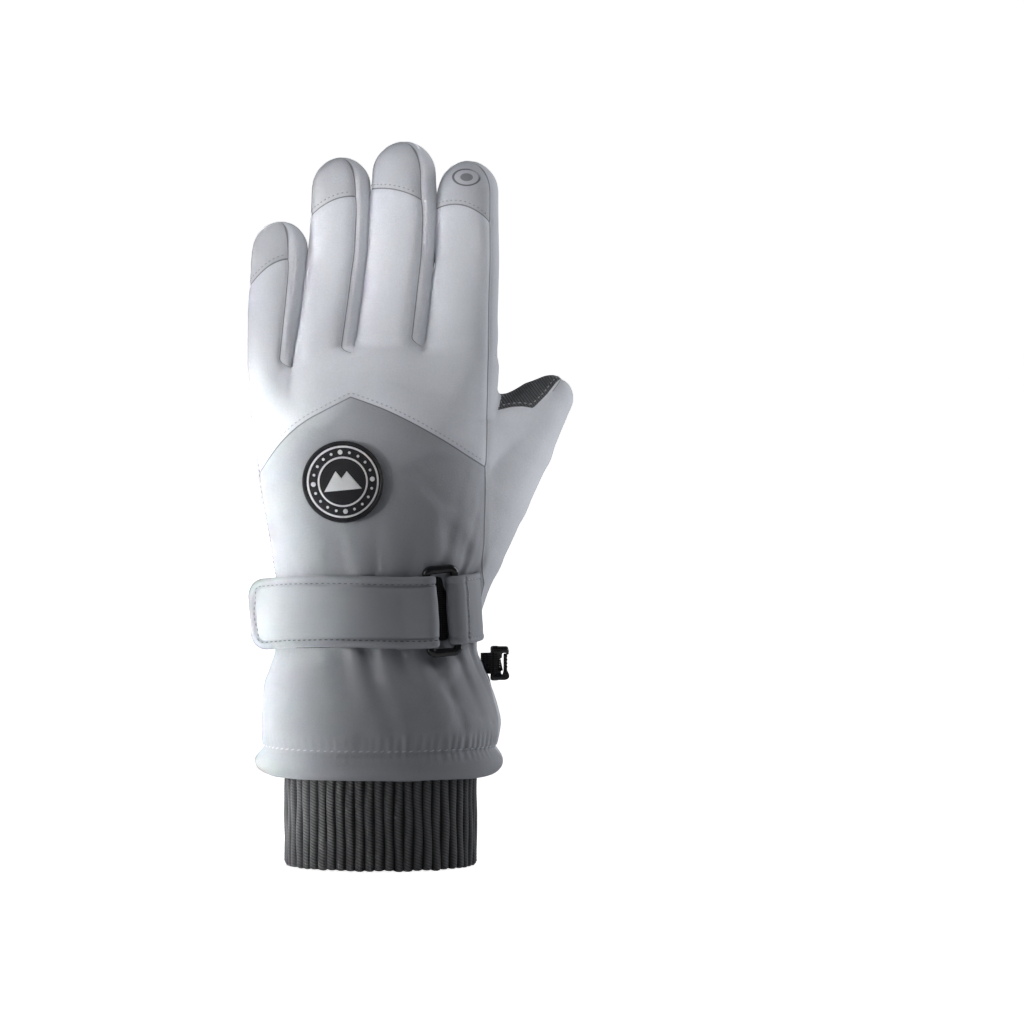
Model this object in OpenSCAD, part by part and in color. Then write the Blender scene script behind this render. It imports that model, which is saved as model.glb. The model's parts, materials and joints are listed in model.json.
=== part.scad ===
/* [Fingers] */
// Radius of the little finger sleeve
pinky_r = 10.4; // [10:0.1:10.6]
// Radius of the ring finger sleeve
ring_r = 11.8; // [11:0.1:12]
// Radius of the middle finger sleeve
middle_r = 12.8; // [12:0.1:13]
// Radius of the index finger sleeve
index_r = 12.2; // [11.5:0.1:12.5]
// Height of the little fingertip above the cuff rim
pinky_top = 270.5; // [266:0.5:274]
// Height of the ring fingertip above the cuff rim
ring_top = 297.4; // [292:0.2:300]
// Height of the middle fingertip above the cuff rim
middle_top = 304; // [298:0.5:308]
// Height of the index fingertip above the cuff rim
index_top = 296; // [290:0.5:300]
// Largest bend of a knuckle crease in degrees
knuckle_bend = 50; // [30:1:50]
// Largest bend of a middle finger crease in degrees
middle_bend = 55; // [30:1:55]

/* [Thumb] */
// Angle of the thumb from the upright
thumb_splay = 27.5; // [25:0.5:30]
// Turn of the thumb's bending direction towards the palm
thumb_turn = 25; // [20:1:30]
// Largest bend of the thumb's root crease in degrees
thumb_root_bend = 35; // [20:1:35]
// Largest bend of the thumb's tip crease in degrees
thumb_tip_bend = 45; // [20:1:45]

/* [Hand and cuff] */
// Largest bend of the wrist each way in degrees
wrist_bend = 20; // [10:1:20]
// Thickness of the outer fabric
shell_t = 1.2; // [0.8:0.1:1.4]
// Thickness of the padding under the hand's fabric
pad_t = 2.8; // [2:0.1:3]
// Thickness of the brushed lining
lining_t = 1.0; // [0.8:0.1:1.2]
// Half width of the knitted cuff
rib_a = 40.7; // [38:0.1:41]
// Half depth of the knitted cuff
rib_b = 29; // [27:0.1:29.2]
// Wall of the knitted cuff
rib_t = 3; // [2.4:0.1:3.4]

/* [Strap and badge] */
// Width of the pull tab
strap_w = 30; // [26:0.5:30.5]
// Slope of the strap across the wrist in degrees
strap_tilt = 3.2; // [0:0.2:4]
// Height of the rectangular loop
loop_h = 38.4; // [38:0.2:39]
// Diameter of the rubber badge
badge_d = 33.6; // [28:0.2:35]

/* [Clip] */
// Height of the clip
clip_h = 14.2; // [13.6:0.2:14.6]
// Radius of the clip's inner bar
clip_bar_r = 1.2; // [1.1:0.05:1.25]

/* [Hidden] */
$fn = 48;

cream = [0.86, 0.89, 0.93];
grey = [0.60, 0.62, 0.65];
dark = [0.27, 0.28, 0.30];
charcoal = [0.17, 0.17, 0.18];
black = [0.05, 0.05, 0.055];
fleece = [0.45, 0.46, 0.48];

g = 0.25;              // half of the slit at every crease
side_gap = 0.12;       // half of the slit along the side seams
z0 = 200;              // height where the finger sleeves leave the palm
// A finger: place at z0, lean, radius, knuckle crease, middle crease, tip, cap seam, cap slope
function finger(n) =
  n == "pinky"  ? [-47.2, 4.5, pinky_r, 216, 238, pinky_top, 249.5, 30] :
  n == "ring"   ? [-24.6, 5.0, ring_r, 226, 250, ring_top, 277, 22] :
  n == "middle" ? [2.6, 4.4, middle_r, 226, 253, middle_top, 282, -10] :
                  [31.9, 3.1, index_r, 225, 251, index_top, 273, -16];

// Rounded oblong outline, fuller than an ellipse
function oval(a, b, n = 2.35, k = 48) =
  [for (i = [0:k - 1]) let (t = 360 * i / k, c = cos(t), s = sin(t))
    [a * sign(c) * pow(abs(c), 2 / n), b * sign(s) * pow(abs(s), 2 / n)]];

// Sections: height, centre, half width, half depth
hand_secs = [[127, -1.8, 42.0, 23.6], [138, -1.9, 42.8, 23.8], [168, -3, 48, 20], [200, -3.7, 51.5, 14.5]];
cuff_secs = [[49.9, -1.3, 50.1, 35.5], [58, -1.3, 50.1, 35], [74, -1.5, 47, 31], [84.5, -1.8, 42.4, 23.6], [87, -1.8, 41.5, 22.6], [133, -1.8, 41.5, 22.6]];

module slab(s, off) translate([s[1], 0, s[0]]) linear_extrude(0.02) polygon(oval(s[2] + off, s[3] + off));
module loft(secs, off) {
  for (i = [0:len(secs) - 2]) hull() { slab(secs[i], off); slab(secs[i + 1], off); }
}
// A skin between two offsets of the same sections
module skin(secs, o1, o2) {
  difference() {
    loft(secs, o1);
    loft(secs, o2);
    translate([0, 0, secs[0][0] - 0.01]) linear_extrude(0.05) translate([secs[0][1], 0]) polygon(oval(secs[0][2] + o2, secs[0][3] + o2));
    e = secs[len(secs) - 1];
    translate([e[1], 0, e[0] - 0.02]) linear_extrude(0.1) polygon(oval(e[2] + o2, e[3] + o2));
  }
}
module dorsal() translate([-150, -100 - side_gap, -50]) cube([300, 100, 400]);
module palmar() translate([-150, side_gap, -50]) cube([300, 100, 400]);

// Wedges that leave room for a crease; local y is the bending side
module above(a, both = false) rotate([90, 0, 90]) translate([0, 0, -90]) linear_extrude(180)
  polygon([[-90, 150], [-90, both ? -g - 90 * tan(a) : -g], [0, -g], [90, -g - 90 * tan(a)], [90, 150]]);
module below(a, both = false) rotate([90, 0, 90]) translate([0, 0, -90]) linear_extrude(180)
  polygon([[-90, -150], [-90, both ? g + 90 * tan(a) : g], [0, g], [90, g + 90 * tan(a)], [90, -150]]);
ak = knuckle_bend / 2 + 1;
am = middle_bend / 2 + 1;
at1 = thumb_root_bend / 2 + 1;
at2 = thumb_tip_bend / 2 + 1;
aw = wrist_bend / 2 + 0.9;
wrist_z = 131;

module at_finger(n) translate([finger(n)[0], 0, z0]) rotate([0, finger(n)[1], 0]) children();
module tube(r, t, za, zb) difference() {
  translate([0, 0, za]) cylinder(r = r, h = zb - za);
  translate([0, 0, za - 1]) cylinder(r = r - t, h = zb - za + 2);
}
// Closed fingertip sleeve from za to the top
module tipsleeve(r, t, za, top) {
  difference() {
    union() {
      translate([0, 0, za]) cylinder(r = r, h = top - r - za);
      translate([0, 0, top - r]) sphere(r = r);
    }
    union() {
      translate([0, 0, za - 1]) cylinder(r = r - t, h = top - r - za + 1);
      translate([0, 0, top - r]) sphere(r = r - t);
    }
  }
}
function h1(n) = finger(n)[3] - z0;
function h2(n) = finger(n)[4] - z0;
function ht(n) = (finger(n)[5] - z0);

// Root of a finger sleeve on the hand, up to the knuckle crease
module finger_root(n, r, t, lift = -5) difference() {
  at_finger(n) difference() {
    tube(r, t, lift, h1(n) + 3);
    translate([0, 0, h1(n)]) above(ak);
  }
}
module base_sleeve(n, r, t) at_finger(n) difference() {
  tube(r, t, h1(n) - 1, h2(n) + 1);
  translate([0, 0, h1(n)]) below(ak);
  translate([0, 0, h2(n)]) above(am);
}
module tip_sleeve(n, r, t, drop = 0) at_finger(n) difference() {
  tipsleeve(r, t, h2(n) - 1, ht(n) - drop);
  translate([0, 0, h2(n)]) below(am);
}
// Everything above a finger's cap seam
module over_cap(n, d) at_finger(n) translate([0, 0, finger(n)[6] - z0 + d]) rotate([0, -finger(n)[7], 0]) translate([-40, -40, 0]) cube([80, 80, 80]);
module under_cap(n, d) at_finger(n) translate([0, 0, finger(n)[6] - z0 - d]) rotate([0, -finger(n)[7], 0]) translate([-40, -40, -80]) cube([80, 80, 80]);

module base_back(n) color(cream) intersection() { base_sleeve(n, finger(n)[2], shell_t); dorsal(); }
module base_palm(n) color(cream) intersection() { base_sleeve(n, finger(n)[2], shell_t); palmar(); }
module base_lining(n) color(fleece) base_sleeve(n, finger(n)[2] - shell_t - 0.2, lining_t + 1.6);
module tip_back(n) color(cream) intersection() { tip_sleeve(n, finger(n)[2], shell_t); dorsal(); under_cap(n, 0.1); }
module tip_palm(n) color(cream) intersection() { tip_sleeve(n, finger(n)[2], shell_t); palmar(); }
module tip_lining(n) color(fleece) tip_sleeve(n, finger(n)[2] - shell_t - 0.2, lining_t + 1.6, shell_t + 0.2);
module cap(n) color(grey) intersection() { tip_sleeve(n, finger(n)[2], shell_t); dorsal(); over_cap(n, 0.1); }
// Touch pad: a thin second skin over the palm side of a fingertip
module touch_pad(n, lo, tilt) color(dark) intersection() {
  at_finger(n) tipsleeve(finger(n)[2] + 0.65, 0.5, h2(n) + 6, ht(n) + 0.65);
  translate([-150, 1.2, 0]) cube([300, 60, 400]);
  at_finger(n) translate([0, 0, lo - z0]) rotate([0, tilt, 0]) translate([-40, -40, 0]) cube([80, 80, 80]);
}

// Thumb frame: local z along the thumb, local y towards the palm
thumb_j = [51, 9, 157];
thumb_l1 = 22;
thumb_l2 = 43;
tr1 = 12.4;
tr2 = 10.9;
tr3 = 9.2;
module at_thumb() translate(thumb_j) rotate([0, thumb_splay, 0]) rotate([0, 0, thumb_turn]) children();
module thumb_solid(o) {
  translate([0, 0, -1]) cylinder(r1 = tr1 + o, r2 = tr2 + o, h = thumb_l1 + 2);
}
module thumb_end(o) {
  translate([0, 0, thumb_l1 - 1]) cylinder(r1 = tr2 + o, r2 = tr3 + o, h = thumb_l2 - thumb_l1 + 1);
  translate([0, 0, thumb_l2]) sphere(r = tr3 + o);
}
module thumb_base_part(o1, o2) at_thumb() difference() {
  thumb_solid(o1);
  translate([0, 0, -0.1]) scale([1, 1, 1]) union() { thumb_solid(o2); translate([0, 0, -3]) cylinder(r = tr1 + o2, h = 3); translate([0, 0, thumb_l1]) cylinder(r = tr2 + o2, h = 4); }
  below(at1);
  translate([0, 0, thumb_l1]) above(at2);
}
module thumb_tip_part(o1, o2) at_thumb() difference() {
  thumb_end(o1);
  thumb_end(o2);
  translate([0, 0, thumb_l1 - 4]) cylinder(r = tr2 + o2, h = 5);
  translate([0, 0, thumb_l1]) below(at2);
}
// Space the thumb sweeps beside the hand
module thumb_room() at_thumb() for (q = [0:thumb_root_bend / 3:thumb_root_bend]) rotate([-q, 0, 0]) difference() {
  translate([0, 0, -2]) cylinder(r1 = tr1 + 1, r2 = tr2 + 1, h = thumb_l1 + 8);
  translate([0, 0, -1.5]) below(at1 - 3);
}
module thumb_bore(r) at_thumb() translate([0, 0, -40]) cylinder(r = r, h = 42);

module wrist_up() translate([0, 0, wrist_z]) below(aw, true);
module wrist_down() translate([0, 0, wrist_z]) above(aw, true);
module chevron(d) translate([0, 0, d]) rotate([90, 0, 0]) translate([0, 0, -5]) linear_extrude(80)
  polygon([[-80, 400], [-80, 141], [-50.8, 165.5], [-31, 182], [-12.2, 197.2], [3.4, 192.5], [24.8, 181], [44.1, 168], [80, 144], [80, 400]]);

// ---------------------------------------------------------------- hand
module hand_skin(o1, o2) skin(hand_secs, o1, o2);
// Hand cavity below the finger roots, so the sleeves open into it
module root_clear(o) for (n = ["pinky", "ring", "middle", "index"]) at_finger(n) translate([0, 0, -6]) cylinder(r = finger(n)[2] + o, h = 70);
module hand_layer(o1, o2) {
  difference() {
    union() {
      hand_skin(o1, o2);
      for (n = ["pinky", "ring", "middle", "index"]) at_finger(n) translate([0, 0, -0.2]) cylinder(r = finger(n)[2] + o1, h = h1(n) + 3);
    }
    // the cavity stops under the webs between the finger roots
    difference() {
      loft(hand_secs, o2);
      translate([-100, -60, 200 + o2]) cube([200, 120, 10]);
    }
    translate([-100, -50, 200 + o1]) difference() {
      cube([200, 100, 10]);
      translate([100, 50, -200 - o1]) for (n = ["pinky", "ring", "middle", "index"]) at_finger(n) translate([0, 0, -3]) cylinder(r = finger(n)[2] + o1, h = 60);
    }
    for (n = ["pinky", "ring", "middle", "index"]) at_finger(n) translate([0, 0, -6]) cylinder(r = finger(n)[2] + o2, h = 60);
    for (n = ["pinky", "ring", "middle", "index"]) intersection() {
      at_finger(n) translate([0, 0, h1(n)]) above(ak);
      at_finger(n) translate([-finger(n)[2] - (n == "pinky" ? 6 : 1.2), -30, h1(n) - 30]) cube([finger(n)[2] * 2 + (n == "index" ? 8 : (n == "pinky" ? 6.6 : 2)), 60, 80]);
    }
    translate([-100, -50, 229]) cube([200, 100, 100]);
    wrist_up();
    thumb_room();
  }
}
module back_upper_panel() color(cream) intersection() {
  difference() { hand_layer(0, -shell_t); thumb_bore(11); }
  dorsal();
  chevron(0.1);
}
module back_lower_panel() color(grey) difference() {
  intersection() { skin(hand_secs, 0, -shell_t); dorsal(); }
  chevron(-0.1);
  wrist_up();
  thumb_room();
  thumb_bore(11);
}
module palm_panel() color(cream) intersection() {
  difference() { hand_layer(0, -shell_t); thumb_bore(11); }
  palmar();
}
module hand_padding() color([0.9, 0.9, 0.85]) difference() {
  skin(hand_secs, -shell_t - 0.2, -shell_t - 0.2 - pad_t);
  wrist_up();
  thumb_room();
  thumb_bore(12);
  translate([-100, -60, 199]) cube([200, 120, 50]);
}
module hand_lining() color(fleece) difference() {
  hand_layer(-shell_t - pad_t - 0.4, -shell_t - pad_t - 0.4 - lining_t);
  thumb_bore(9.6);
}
// Outline of the grip patch on the palm, seen from the palm
module patch_outline() polygon([[-46, 199], [-27.5, 198.2], [-5, 203.7], [8, 202.4], [26, 207], [28.8, 206.2],
  [41.5, 188], [20.4, 185.3], [5, 181.2], [-0.6, 173.5], [3.2, 163.8], [11.5, 151.2], [11, 140.8],
  [3.6, 136.5], [-9, 136.2], [-26.7, 137], [-43.5, 139]]);
module palm_patch() color(dark) difference() {
  intersection() {
    skin(hand_secs, 1.0, 0.15);
    translate([0, 60, 0]) rotate([90, 0, 0]) linear_extrude(58) patch_outline();
    translate([-150, 1.5, 0]) cube([300, 100, 400]);
  }
  thumb_room();
  at_thumb() translate([0, 0, -30]) cylinder(r = tr1 + 2.6, h = 32);
  root_clear(0.3);
  wrist_up();
}
// Reinforcement on the index finger's side, above the thumb
module crotch_patch() color(dark) difference() {
  intersection() {
    skin(hand_secs, 1.0, 0.15);
    translate([30, -9, 176]) cube([60, 17, 24]);
  }
  thumb_room();
  at_thumb() translate([0, 0, -30]) cylinder(r = tr1 + 2.6, h = 32);
  root_clear(0.3);
}
module thumb_gusset() color(cream) difference() {
  at_thumb() difference() {
    translate([0, 0, -24]) cylinder(r1 = 12.8, r2 = tr1, h = 24);
    translate([0, 0, -25]) cylinder(r1 = 12.8 - shell_t, r2 = tr1 - shell_t, h = 26);
    above(at1);
  }
  loft(hand_secs, 0.25);
  wrist_up();
}

// ---------------------------------------------------------------- badge
module at_badge() translate([-15.1, -24.5, 162.5]) rotate([7.6, 0, 0]) rotate([0, 0, -5.5]) rotate([90, 0, 0]) children();
module badge_base() color(black) at_badge() difference() {
  cylinder(d = badge_d, h = 2.4);
  translate([0, 0, 1.8]) cylinder(d = badge_d - 2.4, h = 2);
}
module badge_relief() color([0.9, 0.9, 0.9]) at_badge() translate([0, 0, 1.85]) {
  difference() { cylinder(r = 14.9, h = 0.55); translate([0, 0, -1]) cylinder(r = 14.1, h = 3); }
  difference() { cylinder(r = 10.3, h = 0.55); translate([0, 0, -1]) cylinder(r = 9.6, h = 3); }
  for (i = [0:19]) rotate([0, 0, 18 * i]) translate([12.2, 0, 0]) cylinder(r = i % 5 == 0 ? 0.95 : 0.5, h = 0.55);
  linear_extrude(0.55) polygon([[-8, -3.5], [-2.6, 4.6], [-0.4, 1.4], [2, 4.2], [7.6, -3.5]]);
}

// ---------------------------------------------------------------- gauntlet
module cuff_side(o1, o2) difference() { skin(cuff_secs, o1, o2); wrist_down(); }
module gauntlet_back() color(grey) intersection() { cuff_side(0, -shell_t); dorsal(); }
module gauntlet_palm() color(cream) intersection() { cuff_side(0, -shell_t); palmar(); }
module gauntlet_lining() color(fleece) difference() {
  cuff_side(-shell_t - 2.2, -shell_t - 2.2 - lining_t);
  translate([-100, -60, 0]) cube([200, 120, 58]);
}
// Rows of elastic inside the palm side of the wrist
module wrist_elastic() color([0.8, 0.8, 0.8]) for (z = [90, 97, 104]) intersection() {
  difference() {
    translate([-1.8, 0, z]) linear_extrude(4.5) polygon(oval(41.5 - shell_t - 0.3, 22.6 - shell_t - 0.3));
    translate([-1.8, 0, z - 1]) linear_extrude(7) polygon(oval(41.5 - shell_t - 1.6, 22.6 - shell_t - 1.6));
  }
  translate([-60, 3, 0]) cube([120, 60, 200]);
}
module ring_band(a, b, t, za, zb) difference() {
  translate([0, 0, za]) linear_extrude(zb - za) polygon(oval(a, b));
  translate([0, 0, za - 1]) linear_extrude(zb - za + 2) polygon(oval(a - t, b - t));
}
module hem_roll() color(cream) translate([-1.3, 0, 0]) difference() {
  hull() {
    translate([0, 0, 38.4]) linear_extrude(0.1) polygon(oval(48, 33.6));
    translate([0, 0, 42]) linear_extrude(4.5) polygon(oval(50.6, 36.2));
    translate([0, 0, 49.6]) linear_extrude(0.1) polygon(oval(48.8, 34.4));
  }
  translate([1.3, 0, 30]) linear_extrude(30) polygon(oval(rib_a + 0.3, rib_b + 0.3));
}
module rib_cuff() color(charcoal) ring_band(rib_a, rib_b, rib_t, 0, 56);

// ---------------------------------------------------------------- strap
sz = 107.4;
function wp(t, off) = [-1.8 + (41.5 + off) * cos(t), (23 + off) * sin(t)];
module at_strap() translate([0, 0, sz]) rotate([0, -strap_tilt, 0]) children();
module band(t1, t2, o1, o2, w, steps = 16) translate([0, 0, -w / 2]) linear_extrude(w)
  polygon(concat([for (i = [0:steps]) wp(t1 + (t2 - t1) * i / steps, o1)], [for (i = [steps:-1:0]) wp(t1 + (t2 - t1) * i / steps, o2)]));
// Bars of the rectangular loop
bar_l = [20.3, -25.6];
bar_r = [31.8, -20.2];
module strap_base() color(grey) at_strap() band(-73, -168, 3.3, 2.0, 27);
module loop_patch() color(dark) at_strap() band(-84, -138, 4.2, 3.42, 24);
module hook_patch() color(charcoal) at_strap() band(-104, -138, 5.2, 4.3, 22);
module tab_outline() union() {
  translate([-40, -strap_w / 2]) square([80, strap_w]);
  translate([-48, -strap_w / 2]) square([30, strap_w]);
  translate([-56, -strap_w / 2 + 8]) square([30, strap_w - 16]);
  for (s = [-1, 1]) translate([-48, s * (strap_w / 2 - 8)]) circle(r = 8);
}
module pull_tab() color(grey) at_strap() {
  // the padded tab, its free end running straight on
  e1 = wp(-140, 5.3);
  e2 = wp(-140, 8.3);
  u = [-0.79, 0.61];
  intersection() {
    union() {
      band(-66.5, -140, 8.3, 5.3, strap_w, 20);
      translate([0, 0, -strap_w / 2]) linear_extrude(strap_w) polygon([e1, e2, e2 + 19.5 * u, e1 + 19.5 * u]);
    }
    translate([0, 60, 0]) rotate([90, 0, 0]) linear_extrude(120) tab_outline();
  }
  // the fold round the loop's bar
  difference() {
    translate([bar_l[0], bar_l[1], -strap_w / 2]) cylinder(r = 4.3, h = strap_w);
    translate([bar_l[0], bar_l[1], -strap_w]) cylinder(r = 1.9, h = 2 * strap_w);
    translate([bar_l[0] - 10, bar_l[1] - 0.4, -strap_w]) cube([10, 14, 2 * strap_w]);
  }
}
module strap_loop() color(black) at_strap() {
  for (p = [bar_l, bar_r]) translate([p[0], p[1], -loop_h / 2 + 1]) cylinder(r = 1.45, h = loop_h - 2);
  v = bar_r - bar_l;
  for (s = [-1, 1]) translate([bar_l[0], bar_l[1], s * (loop_h / 2 - 1.7) - 1.7]) rotate([0, 0, atan2(v[1], v[0])])
    translate([-3, -1.5, 0]) cube([norm(v) + 4.6, 3, 3.4]);
}
module strap_anchor() color(grey) at_strap() {
  difference() {
    translate([bar_r[0], bar_r[1], -14.8]) cylinder(r = 3.5, h = 29.6);
    translate([bar_r[0], bar_r[1], -20]) cylinder(r = 1.9, h = 40);
    translate([bar_r[0] - 10, bar_r[1] - 10, -20]) cube([10, 20, 40]);
  }
  translate([0, 0, -14.8]) linear_extrude(29.6) polygon([bar_r + [2.2, -2.6], bar_r + [3.2, 1.2], [38.9, -13.5], [41.6, -4.5], [44.2, -4.5], [41.2, -14.8]]);
}

// ---------------------------------------------------------------- clip
cx1 = 47.4;
czm = 85;
module clip_webbing() color(black) difference() {
  union() {
    translate([cx1, 0, czm - 3.2]) cylinder(r = 2.5, h = 6.4);
    translate([45.2, -1.6, czm - 3.2]) cube([2, 3.2, 6.4]);
  }
  translate([cx1, 0, czm - 10]) cylinder(r = clip_bar_r + 0.3, h = 20);
}
module clip_body() color(black) {
  translate([cx1, 0, czm - clip_h / 2]) cylinder(r = clip_bar_r, h = clip_h);
  for (s = [-1, 1]) translate([0, 0, czm + s * (clip_h / 2 - 1.25) - 1.25]) {
    translate([cx1, 0, 0]) cylinder(r = 1.9, h = 2.5);
    difference() {
      translate([cx1, -1.9, 0]) cube([6.2, 3.8, 2.5]);
      if (s < 0) translate([cx1 + 5, 0, 0]) rotate([90, 0, 0]) translate([0, 2.5, -5]) cylinder(r = 1.75, h = 10);
    }
  }
}
// The sprung gate turns on the lower arm
module clip_gate() color(black) translate([cx1 + 5, 0, czm - clip_h / 2 + 2.5]) {
  rotate([90, 0, 0]) translate([0, 0, -1.8]) cylinder(r = 1.2, h = 3.6);
  translate([-0.9, -1.8, 0.4]) cube([1.9, 3.6, 8.4]);
}

back_upper_panel();
back_lower_panel();
palm_panel();
palm_patch();
crotch_patch();
hand_padding();
hand_lining();
thumb_gusset();
badge_base();
badge_relief();
base_back("pinky");  // pinky_base_back
base_palm("pinky");  // pinky_base_palm
base_lining("pinky");  // pinky_base_lining
tip_back("pinky");  // pinky_tip_back
tip_palm("pinky");  // pinky_tip_palm
tip_lining("pinky");  // pinky_tip_lining
cap("pinky");  // pinky_cap
base_back("ring");  // ring_base_back
base_palm("ring");  // ring_base_palm
base_lining("ring");  // ring_base_lining
tip_back("ring");  // ring_tip_back
tip_palm("ring");  // ring_tip_palm
tip_lining("ring");  // ring_tip_lining
cap("ring");  // ring_cap
base_back("middle");  // middle_base_back
base_palm("middle");  // middle_base_palm
base_lining("middle");  // middle_base_lining
tip_back("middle");  // middle_tip_back
tip_palm("middle");  // middle_tip_palm
tip_lining("middle");  // middle_tip_lining
cap("middle");  // middle_cap
base_back("index");  // index_base_back
base_palm("index");  // index_base_palm
base_lining("index");  // index_base_lining
tip_back("index");  // index_tip_back
tip_palm("index");  // index_tip_palm
tip_lining("index");  // index_tip_lining
cap("index");  // index_cap
touch_pad("middle", 264, -9);  // middle_touch_pad
touch_pad("index", 262, 0);  // index_touch_pad
color(cream) thumb_base_part(0, -shell_t);  // thumb_base_shell
color(fleece) thumb_base_part(-shell_t - 0.2, -shell_t - 2.6);  // thumb_base_lining
color(cream) thumb_tip_part(0, -shell_t);  // thumb_tip_shell
color(dark) intersection() { thumb_tip_part(0.65, 0.15); at_thumb() translate([-40, 2, thumb_l1 + 8]) cube([80, 40, 60]); }  // thumb_tip_pad
color(fleece) thumb_tip_part(-shell_t - 0.2, -shell_t - 2.6);  // thumb_tip_lining
gauntlet_back();
gauntlet_palm();
gauntlet_lining();
hem_roll();
rib_cuff();
wrist_elastic();
strap_base();
loop_patch();
strap_anchor();
strap_loop();
pull_tab();
hook_patch();
clip_webbing();
clip_body();
clip_gate();
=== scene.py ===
import bpy, bmesh, math, json, time
import numpy as np
from mathutils import Vector, Matrix
from mathutils.bvhtree import BVHTree


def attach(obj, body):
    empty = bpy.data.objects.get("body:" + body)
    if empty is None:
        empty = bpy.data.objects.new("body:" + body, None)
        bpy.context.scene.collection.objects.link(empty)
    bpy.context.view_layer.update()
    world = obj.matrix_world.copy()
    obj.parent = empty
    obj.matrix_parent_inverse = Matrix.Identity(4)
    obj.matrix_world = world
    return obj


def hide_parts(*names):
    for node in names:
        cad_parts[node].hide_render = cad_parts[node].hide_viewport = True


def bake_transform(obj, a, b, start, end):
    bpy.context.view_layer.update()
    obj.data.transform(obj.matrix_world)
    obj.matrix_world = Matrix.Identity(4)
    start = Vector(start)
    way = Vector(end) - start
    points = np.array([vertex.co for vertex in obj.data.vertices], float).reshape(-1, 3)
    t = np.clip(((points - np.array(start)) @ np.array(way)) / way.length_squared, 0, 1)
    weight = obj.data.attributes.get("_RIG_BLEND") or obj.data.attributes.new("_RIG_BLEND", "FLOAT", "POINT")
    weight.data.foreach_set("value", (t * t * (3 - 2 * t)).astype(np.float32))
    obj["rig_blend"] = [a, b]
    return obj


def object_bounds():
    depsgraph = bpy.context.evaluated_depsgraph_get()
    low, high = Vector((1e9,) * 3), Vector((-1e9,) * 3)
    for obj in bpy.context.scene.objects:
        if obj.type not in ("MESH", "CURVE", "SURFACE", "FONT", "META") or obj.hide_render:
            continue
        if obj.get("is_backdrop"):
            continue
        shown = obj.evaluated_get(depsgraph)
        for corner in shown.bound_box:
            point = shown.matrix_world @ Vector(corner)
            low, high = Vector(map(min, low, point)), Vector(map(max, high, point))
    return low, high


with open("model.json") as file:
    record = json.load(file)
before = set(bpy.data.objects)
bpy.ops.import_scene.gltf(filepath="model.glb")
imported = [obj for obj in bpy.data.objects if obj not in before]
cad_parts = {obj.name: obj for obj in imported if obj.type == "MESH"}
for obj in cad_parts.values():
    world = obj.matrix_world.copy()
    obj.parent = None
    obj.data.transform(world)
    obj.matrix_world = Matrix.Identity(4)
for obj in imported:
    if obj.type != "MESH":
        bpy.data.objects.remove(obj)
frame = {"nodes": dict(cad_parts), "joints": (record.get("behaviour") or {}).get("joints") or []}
for start_up in ("Cube", "Light", "Camera"):  # the start-up file's own objects
    if start_up in bpy.data.objects:
        bpy.data.objects.remove(bpy.data.objects[start_up])
CAD_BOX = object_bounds()
T0 = time.time()
JOINTS = {j["name"]: j for j in frame["joints"]}
COL = bpy.context.scene.collection
MM = 0.001


def log(*a):
    print("[scene %.1fs]" % (time.time() - T0), *a, flush=True)


# ------------------------------------------------------------------ helpers
def smooth(t):
    t = np.clip(t, 0, 1)
    return t * t * (3 - 2 * t)


def interp(x, knots):
    """Smooth monotone interpolation through (x, value) knots."""
    k = np.array(knots, float)
    fine = np.linspace(k[0, 0], k[-1, 0], 400)
    v = np.interp(fine, k[:, 0], k[:, 1])
    span = (k[-1, 0] - k[0, 0]) / 399
    w = max(1, int(round(3.0 / span)))
    for _ in range(2):
        pad = np.concatenate([np.full(w, v[0]), v, np.full(w, v[-1])])
        v = np.convolve(pad, np.ones(2 * w + 1) / (2 * w + 1), "valid")
    return np.interp(x, fine, v)


def smin(a, b, k):
    h = np.clip(0.5 + 0.5 * (b - a) / k, 0, 1)
    return b * (1 - h) + a * h - k * h * (1 - h)


def smax(a, b, k):
    return -smin(-a, -b, k)


def hash_noise(p, scale, seed):
    """Smooth value noise in 3-D, seeded."""
    q = p / scale
    i = np.floor(q).astype(np.int64)
    f = q - i
    f = f * f * (3 - 2 * f)

    def h(ix, iy, iz):
        n = (ix * 73856093) ^ (iy * 19349663) ^ (iz * 83492791) ^ (seed * 2654435761)
        n = (n ^ (n >> 13)) * 1274126177
        n = n & 0x7FFFFFFF
        return (n % 100003) / 50001.5 - 1

    out = 0
    for dx in (0, 1):
        for dy in (0, 1):
            for dz in (0, 1):
                w = (f[:, 0] if dx else 1 - f[:, 0]) * (f[:, 1] if dy else 1 - f[:, 1]) * (f[:, 2] if dz else 1 - f[:, 2])
                out = out + w * h(i[:, 0] + dx, i[:, 1] + dy, i[:, 2] + dz)
    return out


# ------------------------------------------------------------------ the glove's shape, in mm
FN = ["pinky", "ring", "middle", "index"]
# per finger: centre (z, x), half width (z, w), half depth, top
FG = {
    "pinky": dict(cx=[(190, -44.6), (208, -46.2), (240, -43.6), (262, -42.2), (275, -41.6)], w=[(190, 9.0), (208, 9.2), (236, 11.3), (275, 11.5)], d=10.9, top=270.3),
    "ring": dict(cx=[(190, -26), (212, -24.3), (255, -18.2), (285, -16.6), (300, -16.0)], w=[(190, 12.3), (212, 12.3), (255, 12.1), (300, 12.0)], d=11.8, top=297.2),
    "middle": dict(cx=[(190, 1.6), (217, 3.5), (258, 8.6), (290, 9.5), (306, 9.6)], w=[(190, 13.7), (217, 13.6), (258, 13.3), (306, 13.0)], d=12.6, top=303.8),
    "index": dict(cx=[(190, 33.0), (216, 34.2), (255, 36.6), (285, 36.8), (300, 36.4)], w=[(190, 14.8), (216, 14.5), (255, 12.4), (300, 12.1)], d=12.0, top=295.8),
}
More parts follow.
